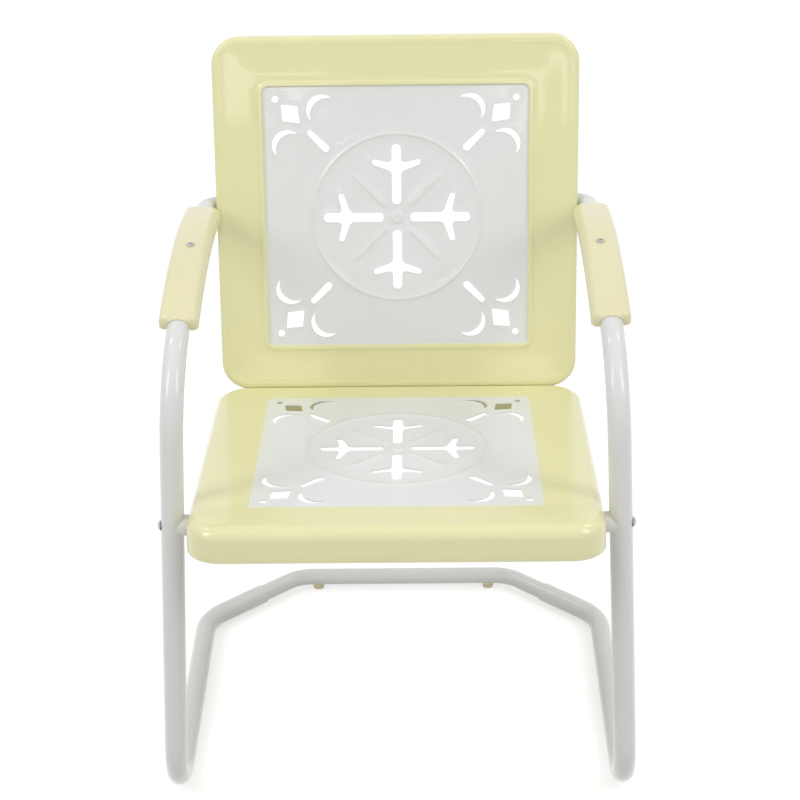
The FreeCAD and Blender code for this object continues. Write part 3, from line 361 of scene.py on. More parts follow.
class TubePath:
    """A tube's centre line, followed as a bender does, with a station at each step."""

    def __init__(self, point, heading, up):
        self.point = Vector(point)
        self.heading = heading.normalized()
        self.up = (up - self.heading * up.dot(self.heading)).normalized()
        self.stations = [self.station()]

    def station(self):
        return (self.point.copy(), self.heading.copy(), self.up.copy())

    def run(self, distance, step=0.03):
        """Straight ahead."""
        count = max(1, math.ceil(distance / step))
        for _ in range(count):
            self.point = self.point + self.heading * (distance / count)
            self.stations.append(self.station())
        return self

    def bend(self, radius, turn, toward, step=math.radians(2.5)):
        """Round an arc whose centre lies in the direction given."""
        inward = (toward - self.heading * toward.dot(self.heading)).normalized()
        centre = self.point + inward * radius
        axis = self.heading.cross(inward).normalized()
        count = max(2, math.ceil(turn / step))
        for _ in range(count):
            self.point = centre + turned(self.point - centre, axis, turn / count)
            self.heading = turned(self.heading, axis, turn / count)
            self.up = turned(self.up, axis, turn / count)
            self.stations.append(self.station())
        return self

    def points(self):
        return [station[0] for station in self.stations]


class Layout:
    """Places and directions that the pieces share, worked out from the sizes."""

    def __init__(self, scene):
        t = self.t = scene.chair_tubes
        p = self.p = scene.chair_panels
        a = self.a = scene.chair_armrests
        f = self.f = scene.chair_fasteners
        self.tube_r = t.tube_d / 2
        self.bar_r = t.crossbar_d / 2
        self.insert_half = p.insert_size / 2
        self.back_half = self.insert_half + p.back_side_border
        self.seat_half = self.back_half + p.seat_overhang
        self.seat_front = -(self.insert_half + p.seat_front_border)
        self.seat_rear = self.insert_half + p.seat_rear_border
        self.back_bottom = -(self.insert_half + p.back_bottom_border)
        self.back_top = self.insert_half + p.back_top_border
        self.arm_x = self.back_half + t.arm_gap + self.tube_r
        self.half_track = self.arm_x + (t.knee_top_z - self.tube_r) * math.tan(t.splay)
        self.floor_turn = math.pi / 2 + t.leg_lean
        self.floor_bend_y = t.floor_bend_r * math.tan(self.floor_turn / 2)
        self.base_length = t.crossbar_y - self.floor_bend_y
        slope = math.asin((self.bar_r + t.glide_drop - self.tube_r) / self.base_length)
        self.chamfer = (t.crossbar_y - t.runner_corner_y) / math.cos(t.corner_turn)
        self.crossbar_half = self.half_track - self.chamfer * math.sin(t.corner_turn)
        self.base_dir = turned(Y_AXIS, X_AXIS, slope)
        self.base_up = turned(Z_AXIS, X_AXIS, slope)
        self.frame_up = turned(self.base_up, self.base_dir, -t.splay)
        self.place_panels(Vector((0, 0, 0)))
        start_z = self.tube_r + t.floor_bend_r * (math.cos(t.splay) - self.frame_up.z)
        self.floor_start = Vector((self.half_track, self.floor_bend_y, start_z))
        foot = TubePath(self.floor_start, -self.base_dir, self.frame_up)
        foot.bend(t.floor_bend_r, self.floor_turn, self.frame_up)
        self.leg_dir = foot.heading
        self.leg_angle = math.pi / 2 - t.leg_lean
        knee_height = t.knee_r * (math.cos(t.arm_rise) - math.cos(self.leg_angle))
        height = (t.knee_top_z - foot.point.z) / self.frame_up.z - knee_height
        self.leg_len = height / math.cos(t.leg_lean)
        rise = (foot.point - self.seat_matrix.translation).dot(self.seat_z)
        to_bolt = (-f.seat_bolt_drop - rise) / self.leg_dir.dot(self.seat_z)
        bolt = foot.point + self.leg_dir * to_bolt
        low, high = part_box("seat_spacers")
        shift = Vector((0, (low.y + high.y) / 2 - bolt.y, 0))
        self.floor_start += shift
        self.leg_foot = foot.point + shift
        self.seat_bolt = bolt + shift
        bar_start = Vector((0, self.floor_start.y, self.floor_start.z))
        self.bar_middle = bar_start + self.base_dir * self.base_length
        self.place_panels(shift)
        self.armrest_top = self.tube_r + a.armrest_seat + a.armrest_t

    def place_panels(self, shift):
        """Matrices from the panels' own axes, with the pattern's middle as origin."""
        p = self.p
        self.seat_y = turned(Y_AXIS, X_AXIS, -p.seat_tilt)
        self.seat_z = turned(Z_AXIS, X_AXIS, -p.seat_tilt)
        seat_centre = Vector((0, p.seat_centre_y, p.seat_centre_z)) + shift
        self.seat_matrix = axes_matrix(seat_centre, X_AXIS, self.seat_y, self.seat_z)
        self.back_y = turned(Z_AXIS, X_AXIS, -p.back_recline)
        self.back_z = turned(-Y_AXIS, X_AXIS, -p.back_recline)
        back_foot = self.seat_matrix @ Vector((0, self.seat_rear + p.back_gap, -p.back_drop))
        self.back_centre = back_foot - self.back_y * self.back_bottom
        self.back_matrix = axes_matrix(self.back_centre, X_AXIS, self.back_y, self.back_z)

    def to_front_of_back(self, path, gap):
        """How far the arm goes on until it is a given distance in front of the back's face."""
        distance = (path.point - self.back_centre).dot(self.back_z)
        return (distance - gap) / -path.heading.dot(self.back_z)

    def side_path(self):
        """Centre line of the left side tube from the socket's open end, and its path to the rear."""
        t = self.t
        runner = TubePath(self.floor_start, self.base_dir, self.base_up)
        inset = t.runner_bend_r * math.tan(t.corner_turn / 2)
        runner.run(t.runner_corner_y - self.floor_bend_y - inset)
        runner.bend(t.runner_bend_r, t.corner_turn, -X_AXIS)
        runner.run(t.socket_len - inset)
        rest = TubePath(self.floor_start, -self.base_dir, self.frame_up)
        rest.bend(t.floor_bend_r, self.floor_turn, self.frame_up)
        rest.run(self.leg_len)
        rest.bend(t.knee_r, self.leg_angle - t.arm_rise, Y_AXIS)
        rest.bend(t.arm_crown_r, t.arm_rise + t.arm_fall, -self.frame_up, step=math.radians(1.5))
        rest.run(self.to_front_of_back(rest, -t.rear_bend_depth))
        rest.bend(t.rear_bend_r, math.acos(-rest.heading.x), -X_AXIS, step=math.radians(5))
        rest.run(t.flat_start)
        return list(reversed(runner.points())) + rest.points()[1:], rest

    def crossbar_path(self):
        """Centre line of the crossbar, from one socket to the other."""
        t = self.t
        path = TubePath(self.bar_middle, X_AXIS, self.base_up)
        turn = math.pi / 2 - t.corner_turn
        inset = t.crossbar_bend_r * math.tan(turn / 2)
        path.run(self.crossbar_half - inset)
        path.bend(t.crossbar_bend_r, turn, -self.base_dir)
        path.run(self.chamfer - t.socket_len + t.crossbar_insert - inset)
        half = path.points()
        return [on_the_right(point) for point in reversed(half[1:])] + half

    def armrest_path(self):
        """Centre line of the arm under its cover, with a station at each step."""
        t, a = self.t, self.a
        path = TubePath(self.leg_foot, self.leg_dir, -Y_AXIS)
        path.run(self.leg_len)
        path.bend(t.knee_r, self.leg_angle - t.arm_rise, Y_AXIS)
        lead = a.armrest_lead / t.arm_crown_r
        path.bend(t.arm_crown_r, lead, -path.up)
        cover = TubePath(path.point, path.heading, path.up)
        left_over = t.arm_rise + t.arm_fall - lead
        cover.bend(t.arm_crown_r, left_over, -cover.up, step=math.radians(0.6))
        cover.run(self.to_front_of_back(cover, a.armrest_back_gap), step=5 * MM)
        return cover

    def arm_flat(self):
        """Centre of the arm's flattened end and of its bolt."""
        end = self.side_path()[1].point
        flat = end - X_AXIS * self.t.flat_taper + self.back_z * (self.tube_r - self.t.tube_wall)
        bolt_x = self.insert_half + self.p.ridge_width + self.t.bracket_clear + self.t.bracket_w / 2
        return flat, Vector((bolt_x, flat.y, flat.z))


# Mesh helpers

def link(obj):
    bpy.context.scene.collection.objects.link(obj)
    return obj


def mesh_object(name, points, faces=(), uvs=None, edges=()):
    """A linked mesh object from points and faces or edges, with an optional UV for each point."""
    mesh = bpy.data.meshes.new(name)
    mesh.from_pydata([tuple(point) for point in points], edges, faces)
    if uvs is not None:
        layer = mesh.uv_layers.new(name="panel")
        for loop in mesh.loops:
            layer.data[loop.index].uv = uvs[loop.vertex_index]
    mesh.update()
    return link(bpy.data.objects.new(name, mesh))


def grid_faces(rows, width, closed=True, inward=False):
    """Faces between rows of points; closed rows go round."""
    faces = []
    for low in range(0, (rows - 1) * width, width):
        high = low + width
        for part in range(width if closed else width - 1):
            after = (part + 1) % width
            face = (low + part, low + after, high + after, high + part)
            faces.append((face[0], face[3], face[2], face[1]) if inward else face)
    return faces


def worked(mesh, *changes):
    """The mesh after changes by functions of its bmesh."""
    work = bmesh.new()
    work.from_mesh(mesh)
    for change in changes:
        change(work)
    work.to_mesh(mesh)
    work.free()
    return mesh


def faces_out(work):
    bmesh.ops.recalc_face_normals(work, faces=work.faces)


def outward(obj):
    """The object with its faces turned away from its inside."""
    worked(obj.data, faces_out)
    return obj


def smoothed(mesh, sharp=SHARP_EDGE):
    mesh.shade_smooth()
    mesh.set_sharp_from_angle(angle=math.radians(sharp))
    return mesh


def discarded(obj):
    """Removes an object, and its mesh if nothing else uses it."""
    mesh = obj.data
    bpy.data.objects.remove(obj)
    if mesh.users == 0:
        bpy.data.meshes.remove(mesh)


def baked(obj, name, sharp=SHARP_EDGE):
    """The object with its modifiers made plain, smooth but for edges sharper than the angle."""
    graph = bpy.context.evaluated_depsgraph_get()
    mesh = bpy.data.meshes.new_from_object(obj.evaluated_get(graph), depsgraph=graph)
    mesh.name = name
    discarded(obj)
    return link(bpy.data.objects.new(name, smoothed(mesh, sharp)))


def solidify(obj, thickness, under_slot=0):
    """Gives a sheet its thickness, away from its outer face."""
    wall = obj.modifiers.new("Thickness", "SOLIDIFY")
    wall.thickness = thickness
    wall.offset = -1
    wall.use_even_offset = True
    wall.material_offset = under_slot
    return obj


def bevel(obj, width, limit=40.0):
    """Rounds the edges that are sharper than a limit in degrees."""
    edge = obj.modifiers.new("Soft edges", "BEVEL")
    edge.width = width
    edge.segments = 2
    edge.limit_method = "ANGLE"
    edge.angle_limit = math.radians(limit)
    edge.use_clamp_overlap = True
    return obj


def mirrored_copy(obj):
    """The right piece for a left one, with its faces still pointing outward."""
    mesh = obj.data.copy()
    mesh.name = obj.name.replace(*SIDES)
    mesh.transform(Matrix.Scale(-1, 4, X_AXIS))
    mesh.flip_normals()
    return link(bpy.data.objects.new(mesh.name, mesh))


def paint(obj, *materials):
    obj.data.materials.clear()
    for material in materials:
        obj.data.materials.append(material)
    return obj


def dressed(obj, body, slot, *nodes):
    """Hides the nodes a piece stands for and sets it on the body it rides on; the slot is not used."""
    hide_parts(*nodes)
    if body is not None:
        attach(obj, body)
    return obj


def both_dressed(left, finish, body, slot, node):
    """Paints and dresses a left piece and its mirror image; the node's name lacks its side."""
    for obj, side in zip((left, mirrored_copy(left)), SIDES):
        dressed(paint(obj, finish), body, slot, node + side)


def merged_node(node, name):
    """A merged copy of a packed node."""
    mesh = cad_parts[node].data.copy()
    mesh.name = name
    worked(
        mesh,
        lambda work: bmesh.ops.remove_doubles(work, verts=work.verts, dist=1e-6),
        lambda work: bmesh.ops.dissolve_limit(
            work, angle_limit=math.radians(0.5), verts=work.verts, edges=work.edges))
    return link(bpy.data.objects.new(name, mesh))


# Node trees

class Wiring:
    """A node tree under construction."""

    def __init__(self, tree):
        self.tree = tree

    def node(self, kind, sockets=None, **settings):
        """A new node with its settings and inputs."""
        node = self.tree.nodes.new(kind)
        for key, value in settings.items():
            setattr(node, key, value)
        self.fill(node, sockets or {})
        return node

    def fill(self, node, sockets):
        """Gives inputs plain values, or joins them to other nodes' outputs."""
        for key, value in sockets.items():
            if isinstance(value, bpy.types.NodeSocket):
                self.tree.links.new(value, node.inputs[key])
            else:
                node.inputs[key].default_value = value

    def maths(self, operation, first, second=0.0):
        return self.node("ShaderNodeMath", {0: first, 1: second}, operation=operation).outputs[0]


def new_tree(name, inputs):
    """A Geometry Nodes tree with named inputs of a kind and a default each."""
    tree = bpy.data.node_groups.new(name, "GeometryNodeTree")
    tree.interface.new_socket("Geometry", in_out="OUTPUT", socket_type="NodeSocketGeometry")
    for label, (kind, default) in {"Geometry": ("Geometry", None), **inputs}.items():
        socket = tree.interface.new_socket(label, in_out="INPUT", socket_type="NodeSocket" + kind)
        if default is not None:
            socket.default_value = default
    wiring = Wiring(tree)
    return wiring, wiring.node("NodeGroupInput").outputs


def finished_tree(wiring, geometry_out, material):
    """Makes instances real, sets the material and hands the geometry over."""
    real = wiring.node("GeometryNodeRealizeInstances", {"Geometry": geometry_out})
    finish = wiring.node("GeometryNodeSetMaterial", {"Geometry": real.outputs[0], "Material": material})
    wiring.node("NodeGroupOutput", {"Geometry": finish.outputs[0]})
    return wiring.tree


def bent_tube_tree(name):
    """Sweeps a circle along a line of points."""
    wiring, given = new_tree(name, {
        "Diameter": ("Float", 0.027), "Sides": ("Int", TUBE_SIDES), "Paint": ("Material", None)})
    circle = wiring.node("GeometryNodeCurvePrimitiveCircle", {
        "Resolution": given["Sides"], "Radius": wiring.maths("DIVIDE", given["Diameter"], 2)})
    line = wiring.node("GeometryNodeMeshToCurve", {"Mesh": given["Geometry"]})
    sweep = wiring.node("GeometryNodeCurveToMesh", {
        "Curve": line.outputs["Curve"], "Profile Curve": circle.outputs["Curve"]})
    return finished_tree(wiring, sweep.outputs["Mesh"], given["Paint"])


def fastener_tree(name):
    """Sets one fastener on each point, turned along the point's aim."""
    wiring, given = new_tree(name, {
        "Fastener": ("Object", None), "Size": ("Float", 1.0), "Metal": ("Material", None)})
    model = wiring.node("GeometryNodeObjectInfo", {"Object": given["Fastener"]})
    aim = wiring.node("GeometryNodeInputNamedAttribute", {"Name": "aim"}, data_type="FLOAT_VECTOR")
    align = wiring.node(
        "FunctionNodeAlignRotationToVector", {"Vector": aim.outputs["Attribute"]}, axis="Z")
    place = wiring.node("GeometryNodeInstanceOnPoints", {
        "Points": given["Geometry"], "Instance": model.outputs["Geometry"],
        "Rotation": align.outputs["Rotation"], "Scale": given["Size"]})
    return finished_tree(wiring, place.outputs["Instances"], given["Metal"])


TREES = {"Bent tube": bent_tube_tree, "Fastener set": fastener_tree}


def run_tree(kind, source, name, values):
    """A plain mesh object made by a tree from a source object."""
    tree = bpy.data.node_groups.get(kind) or TREES[kind](kind)
    shape = source.modifiers.new("Shape", "NODES")
    shape.node_group = tree
    for item in tree.interface.items_tree:
        if item.item_type == "SOCKET" and item.in_out == "INPUT" and item.name in values:
            shape[item.identifier] = values[item.name]
    return baked(source, name)


def path_object(name, points):
    """Points joined by edges, as a tree's path."""
    return mesh_object(name, points, edges=[(index, index + 1) for index in range(len(points) - 1)])


def tube_mesh(name, points, diameter, wall, material):
    """A tube with a wall along a path."""
    tube = run_tree("Bent tube", path_object(name + "_path", points), name,
                    {"Diameter": diameter, "Paint": material})
    return baked(solidify(outward(tube), wall), name)


# Materials

class Finish(Wiring):
    """A material under construction, with its Principled shader."""

    def __init__(self, name):
        self.material = bpy.data.materials.new(name)
        self.material.use_nodes = True
        self.material.node_tree.nodes.clear()
        super().__init__(self.material.node_tree)
        self.shader = self.node("ShaderNodeBsdfPrincipled")
        self.output = self.node("ShaderNodeOutputMaterial", {"Surface": self.shader.outputs["BSDF"]})
        self.place = self.node("ShaderNodeTexCoord").outputs["Object"]

    def noise(self, per_metre, detail=2.0, rough=0.5):
        return self.node("ShaderNodeTexNoise", {
            "Vector": self.place, "Scale": per_metre, "Detail": detail, "Roughness": rough}).outputs["Fac"]

    def spread(self, value, low, high, to_low, to_high):
        """Maps a range of a value softly onto another, held at both ends."""
        return self.node("ShaderNodeMapRange", {
            "Value": value, "From Min": low, "From Max": high, "To Min": to_low, "To Max": to_high,
        }, interpolation_type="SMOOTHSTEP").outputs["Result"]

    def mix(self, factor, first, second, blend="MIX"):
        return self.node("ShaderNodeMix", {
            "Factor": factor, 6: first, 7: second}, data_type="RGBA", blend_type=blend).outputs[2]

    def bump(self, height, depth, below=None):
        node = self.node("ShaderNodeBump", {"Distance": depth, "Height": height})
        if below is not None:
            self.fill(node, {"Normal": below})
        return node.outputs["Normal"]

    def surface(self, **sockets):
        """Fills the shader's inputs, named with _ for a space, and hands over the material."""
        self.fill(self.shader, {key.replace("_", " "): value for key, value in sockets.items()})
        return self.material


def rgba(values):
    return (*values, 1.0)


def shade(values, factors):
    return rgba([value * factor for value, factor in zip(values, factors)])


def enamel(name, sizes, base, field=None, field_half=0.0, field_corner=0.0):
    """Sprayed enamel: soft clouds, fine specks, orange peel and long waves of the metal below."""
    finish = Finish(name)
    colour_now = rgba(base)
    if field is not None:
        colour_now = field_mask(finish, colour_now, rgba(field), field_half, field_corner)
    clouds = finish.spread(finish.noise(7.0, 3.0), 0.35, 0.7, 0.0, 0.35)
    aged = finish.mix(clouds, colour_now, AGED_TINT, "MULTIPLY")
    specks = finish.spread(finish.noise(420.0, 1.0), 0.80, 0.82, 0.0, 0.3)
    waves = finish.bump(finish.noise(11.0, 1.0), sizes.wave)
    return finish.surface(
        Base_Color=finish.mix(specks, aged, SPECK_COLOUR),
        Roughness=finish.spread(finish.noise(30.0, 3.0, 0.6), 0.3, 0.7, sizes.gloss, sizes.gloss + 0.06),
        Normal=finish.bump(finish.noise(520.0, 2.0), sizes.peel, waves),
        Specular_IOR_Level=0.35, Coat_Weight=0.8, Coat_Roughness=0.06, Coat_IOR=1.38)


def field_mask(finish, outside, inside, half, corner):
    """Paints a square field in the panel's own UV, with rounded corners if asked for."""
    layer = finish.node("ShaderNodeUVMap", uv_map="panel")
    split = finish.node("ShaderNodeSeparateXYZ", {"Vector": layer.outputs["UV"]}).outputs
    x, y = [finish.maths("SUBTRACT", finish.maths("ABSOLUTE", split[axis]), half - corner) for axis in "XY"]
    squares = []
    for value in (x, y):
        beyond = finish.maths("MAXIMUM", value, 0.0)
        squares.append(finish.maths("MULTIPLY", beyond, beyond))
    reach = finish.maths("SQRT", finish.maths("ADD", *squares))
    inner = finish.maths("MINIMUM", finish.maths("MAXIMUM", x, y), 0.0)
    distance = finish.maths("SUBTRACT", finish.maths("ADD", reach, inner), corner)
    edge = finish.spread(distance, -MASK_SOFT, MASK_SOFT, 1.0, 0.0)
    return finish.mix(edge, outside, inside)


def zinc_plate(name, _sizes, base):
    """Dull plated steel with blotches and fine grain."""
    finish = Finish(name)
    blotch = finish.spread(finish.noise(240.0, 4.0), 0.35, 0.65, 0.0, 0.45)
    return finish.surface(
        Base_Color=finish.mix(blotch, rgba(base), shade(base, (0.8, 0.79, 0.77))), Metallic=0.9,
        Roughness=finish.spread(finish.noise(600.0, 2.0), 0.3, 0.7, 0.30, 0.42),
        Normal=finish.bump(finish.noise(1500.0, 2.0), 0.02 * MM))


def moulded_plastic(name, _sizes, base):
    """Moulded plastic with a fine grain and scuffs."""
    finish = Finish(name)
    scuffs = finish.spread(finish.noise(160.0, 5.0, 0.65), 0.5, 0.75, 0.0, 0.5)
    return finish.surface(
        Base_Color=finish.mix(scuffs, rgba(base), shade(base, (1.35, 1.34, 1.3))),
        Roughness=finish.spread(finish.noise(300.0, 2.0), 0.3, 0.7, 0.42, 0.6),
        Normal=finish.bump(finish.noise(900.0, 2.0), 0.03 * MM))


def materials(scene):
    """All finishes by name, made once."""
    sizes = scene.chair_finish
    half = scene.chair_panels.insert_size / 2
    recipes = {
        "tube_white": (enamel, sizes.tube_white),
        "seat_paint": (enamel, sizes.yellow, sizes.field_white, half, 0.0),
        "back_paint": (enamel, sizes.yellow, sizes.field_white, half, BACK_FIELD_R),
        "panel_yellow": (enamel, sizes.yellow),
        "armrest_cream": (enamel, sizes.cream),
        "zinc": (zinc_plate, sizes.zinc),
        "glide_plastic": (moulded_plastic, sizes.plastic),
    }
    return {name: bpy.data.materials.get(name) or make(name, sizes, *values)
            for name, (make, *values) in recipes.items()}


# Outlines of the pressed panels, in a panel's own X and Y

def rounded_loop(half_x, low_y, high_y, radius, step, corner_steps=12):
    """Points and outward directions round a rectangle with round corners."""
    middle = (low_y + high_y) / 2
    corners = [(half_x, low_y, -90), (half_x, high_y, 0), (-half_x, high_y, 90), (-half_x, low_y, 180)]
    arcs = []
    for x, y, start in corners:
        centre = np.array([x - math.copysign(radius, x), y - math.copysign(radius, y - middle)])
        turns = np.radians(start + np.linspace(0, 90, corner_steps + 1))
        directions = np.stack([np.cos(turns), np.sin(turns)], 1)
        arcs.append((centre + radius * directions, directions))
    points, normals = [], []
    for (arc, directions), (following, _) in zip(arcs, arcs[1:] + arcs[:1]):
        gap = following[0] - arc[-1]
        count = max(1, round(float(np.hypot(*gap)) / step))
        points += list(arc) + [arc[-1] + gap * (part / count) for part in range(1, count)]
        normals += list(directions) + [directions[-1]] * (count - 1)
    return np.array(points), np.array(normals)


def inside_distance(points, half_x, low_y, high_y, radius):
    """How far points lie inside a rectangle with round corners; less than 0 outside."""
    middle = (low_y + high_y) / 2
    across = np.abs(points[:, 0]) - (half_x - radius)
    along = np.abs(points[:, 1] - middle) - ((high_y - low_y) / 2 - radius)
    outside = np.hypot(np.maximum(across, 0), np.maximum(along, 0))
    return radius - outside - np.minimum(np.maximum(across, along), 0)


def soft_polygon(corners, radii, step):
    """A polygon whose corners are rounded, as points about a step apart."""
    corners = [np.array(corner, float) for corner in corners]
    outline = []
    count = len(corners)
    for index, corner in enumerate(corners):
        before = corners[index - 1] - corner
        after = corners[(index + 1) % count] - corner
        before_len, after_len = np.hypot(*before), np.hypot(*after)
        before, after = before / before_len, after / after_len
        half = math.acos(max(-1, min(1, float(before @ after)))) / 2
        reach = min(radii[index] / math.tan(half), 0.499 * before_len, 0.499 * after_len)
        radius = reach * math.tan(half)
        bisector = (before + after) / np.hypot(*(before + after))
        centre = corner + bisector * (radius / math.sin(half))
        first, last = corner + before * reach, corner + after * reach
        start = math.atan2(*(first - centre)[::-1])
        sweep = math.atan2(*(last - centre)[::-1]) - start
        sweep = (sweep + math.pi) % (2 * math.pi) - math.pi
        parts = max(2, math.ceil(abs(sweep) / CORNER_STEP))
        for part in range(parts + 1):
            turn = start + sweep * part / parts
            outline.append(centre + radius * np.array([math.cos(turn), math.sin(turn)]))
    return refined(np.array(outline), step)


def refined(outline, step):
    """The same closed outline with long sides divided and doubled points left out."""
    result = []
    for index, point in enumerate(outline):
        following = outline[(index + 1) % len(outline)]
        gap = following - point
        distance = float(np.hypot(*gap))
        if distance < step * 0.02:
            continue
        count = max(1, math.ceil(distance / step))
        for part in range(count):
            result.append(point + gap * (part / count))
    return np.array(result)


def arc_points(centre, radius, first, last, count):
    turns = np.radians(np.linspace(first, last, count))
    return np.stack([centre[0] + radius * np.cos(turns), centre[1] + radius * np.sin(turns)], 1)


def turned_flat(outline, degrees):
    turn = math.radians(degrees)
    matrix = np.array([[math.cos(turn), math.sin(turn)], [-math.sin(turn), math.cos(turn)]])
    return outline @ matrix


def sprig_outline(k, step):
    """Stem with a round tip and two wings."""
    half = k.sprig_stem_w / 2
    low_slope = (k.wing_tip_at - k.wing_tip_r - k.wing_root_near) / k.wing_tip_out
    high_slope = (k.wing_tip_at + k.wing_tip_r - k.wing_root_far) / k.wing_tip_out
    tip = k.wing_tip_out + k.wing_tip_r
    side = [
        (half, k.sprig_start, SPRIG_START_R),
        (half, k.wing_root_near + half * low_slope, WING_FRONT_R),
        (tip, k.wing_root_near + tip * low_slope, WING_END_R),
        (tip, k.wing_root_far + tip * high_slope, WING_END_R),
        (half, k.wing_root_far + half * high_slope, WING_REAR_R),
        (half, k.sprig_end, half)]
    whole = side + [(-x, y, radius) for x, y, radius in reversed(side)]
    return soft_polygon([corner[:2] for corner in whole], [corner[2] for corner in whole], step)


def drop_outline(k, step):
    """Slot along the diagonal, wide toward the middle."""
    lean = math.degrees(math.asin((k.drop_near_r - k.drop_far_r) / (k.drop_far - k.drop_near)))
    far = arc_points((k.drop_far, 0), k.drop_far_r, -90 + lean, 90 - lean, 12)
    near = arc_points((k.drop_near, 0), k.drop_near_r, 90 - lean, 270 + lean, 18)
    return refined(np.concatenate([far, near]), step)


def kite_outline(k, step):
    half = k.kite_half_w
    corners = [(k.kite_near, 0), (k.kite_mid, -half), (k.kite_far, 0), (k.kite_mid, half)]
    return soft_polygon(corners, [KITE_R] * 4, step)


def crescent_outline(k, step):
    """Moon about its own centre, bulging along the diagonal."""
    back = k.crescent_bite * math.sqrt(2)
    outer = math.degrees(math.acos(k.crescent_tip_cut / k.crescent_r))
    inner = math.degrees(math.acos((back + k.crescent_tip_cut) / k.crescent_bite_r))
    bulge = arc_points((0, 0), k.crescent_r, -outer, outer, 28)
    hollow = arc_points((-back, 0), k.crescent_bite_r, inner, -inner, 24)
    return refined(np.concatenate([bulge, hollow]), step)


def pattern_holes(k, step):
    """Outlines of all the holes, anticlockwise."""
    moon = turned_flat(crescent_outline(k, step), 45)
    quarter = [
        sprig_outline(k, step), turned_flat(drop_outline(k, step), 45),
        turned_flat(kite_outline(k, step), 45),
        arc_points((k.corner_hole_at, k.corner_hole_at), k.corner_hole_d / 2, 0, 360, 25)[:-1],
        moon + np.array([k.crescent_x, k.crescent_y]), moon + np.array([k.crescent_y, k.crescent_x])]
    holes = []
    for turn in QUARTERS:
        for outline in quarter:
            loop = turned_flat(outline, turn)
            following = np.roll(loop, -1, 0)
            area = float((loop[:, 0] * following[:, 1] - loop[:, 1] * following[:, 0]).sum())
            holes.append(loop if area > 0 else loop[::-1])
    return holes


def inside_loop(points, loop):
    """Which points lie inside a closed outline."""
    result = np.zeros(len(points), bool)
    near = np.all((points >= loop.min(0)) & (points <= loop.max(0)), 1)
    if not near.any():
        return result
    x, y = points[near, 0][:, None], points[near, 1][:, None]
    ax, ay = loop[:, 0], loop[:, 1]
    bx, by = np.roll(ax, -1), np.roll(ay, -1)
    rise = np.where(by == ay, 1e-12, by - ay)
    crossing = ((ay > y) != (by > y)) & (x < (bx - ax) * (y - ay) / rise + ax)
    result[near] = crossing.sum(1) % 2 == 1
    return result


def loop_normals(loop):
    """Directions that point away from the inside of an anticlockwise outline."""
    along = np.roll(loop, -1, 0) - np.roll(loop, 1, 0)
    along /= np.maximum(np.hypot(along[:, 0], along[:, 1]), 1e-12)[:, None]
    return np.stack([along[:, 1], -along[:, 0]], 1)


class Nearest:
    """Distance from points to the nearest of some others."""

    def __init__(self, others):
        self.tree = kdtree.KDTree(len(others))
        for index, (x, y) in enumerate(others):
            self.tree.insert((x, y, 0), index)
        self.tree.balance()

    def distance(self, points):
        return np.array([self.tree.find((x, y, 0))[2] for x, y in points])


def smooth_step(value):
    value = np.clip(value, 0, 1)
    return value * value * (3 - 2 * value)


def bump_profile(distance, half_width):
    """A low round bead that runs out softly at both sides."""
    inside = np.clip(np.abs(distance) / half_width, 0, 1)
    return (1 - inside * inside) ** 2


def bead_heights(points, k):
    """Height of ring, ribs and boss above the field."""
    radius = np.hypot(points[:, 0], points[:, 1])
    height = bump_profile(radius - k.ring_r, k.ring_bead_w * RING_FLARE)
    height = np.maximum(height, smooth_step((k.boss_r + BOSS_EASE - radius) / BOSS_FALL))
    for turn in DIAGONALS:
        local = turned_flat(points, -turn)
        beyond = np.maximum(np.maximum(k.rib_start - local[:, 0], local[:, 0] - k.rib_end), 0)
        rib = bump_profile(np.hypot(local[:, 1], beyond), k.rib_bead_w * RIB_FLARE)
        height = np.maximum(height, rib)
    return height * k.bead_height


def lip_heights(distance, p):
    """Soft raised edge round the holes."""
    return p.lip_height * np.exp(-((distance - LIP_PEAK) / LIP_SPREAD) ** 2)


def bead_net(k):
    """Extra points on ring, ribs and boss."""
    offsets = np.linspace(-1, 1, 9)
    extra = [arc_points((0, 0), k.ring_r + offset * k.ring_bead_w * RING_FLARE, 0, 360, 301)[:-1]
             for offset in offsets]
    for radius in np.array([0.3, 0.55, 0.72, 0.79, 0.86, 0.93, 1.0, 1.06, 1.13]) * k.boss_r:
        extra.append(arc_points((0, 0), radius, 0, 360, 33)[:-1])
    spine = np.arange(k.rib_start - 4 * MM, k.rib_end + 4 * MM, 1.5 * MM)
    for turn in DIAGONALS:
        for offset in offsets * k.rib_bead_w * RIB_FLARE:
            extra.append(turned_flat(np.stack([spine, np.full(len(spine), offset)], 1), turn))
    return extra


def ledge_net(loops):
    """Extra points along the ledges of the back: (half, low, high, radius, insets)."""
    extra = []
    for half, low, high, radius, insets in loops:
        for inset in insets:
            soft = max(radius - inset, 0.5 * MM)
            extra.append(rounded_loop(half - inset, low + inset, high - inset, soft, LEDGE_STEP, 14)[0])
    return extra


def net_points(outline, flat, p, holes, edges, extra):
    """Points of the sheet between the edge of its flat part and the holes."""
    half, low, high, _ = outline
    close = []
    for loop in holes:
        directions = loop_normals(loop)
        for distance in LIP_ROWS:
            row = loop + directions * distance
            close.append(row[edges.distance(row) > 0.8 * distance])
    close = np.concatenate(close + extra)
    plain = np.meshgrid(np.arange(-half, half, p.grid), np.arange(low, high, p.grid))
    plain = np.stack(plain, -1).reshape(-1, 2)
    plain = plain[Nearest(close).distance(plain) > 0.4 * p.grid]
    free = np.concatenate([close, plain])
    free = free[inside_distance(free, *flat) > EDGE_CLEAR]
    for loop in holes:
        free = free[~inside_loop(free, loop)]
    return free[edges.distance(free) > HOLE_CLEAR]


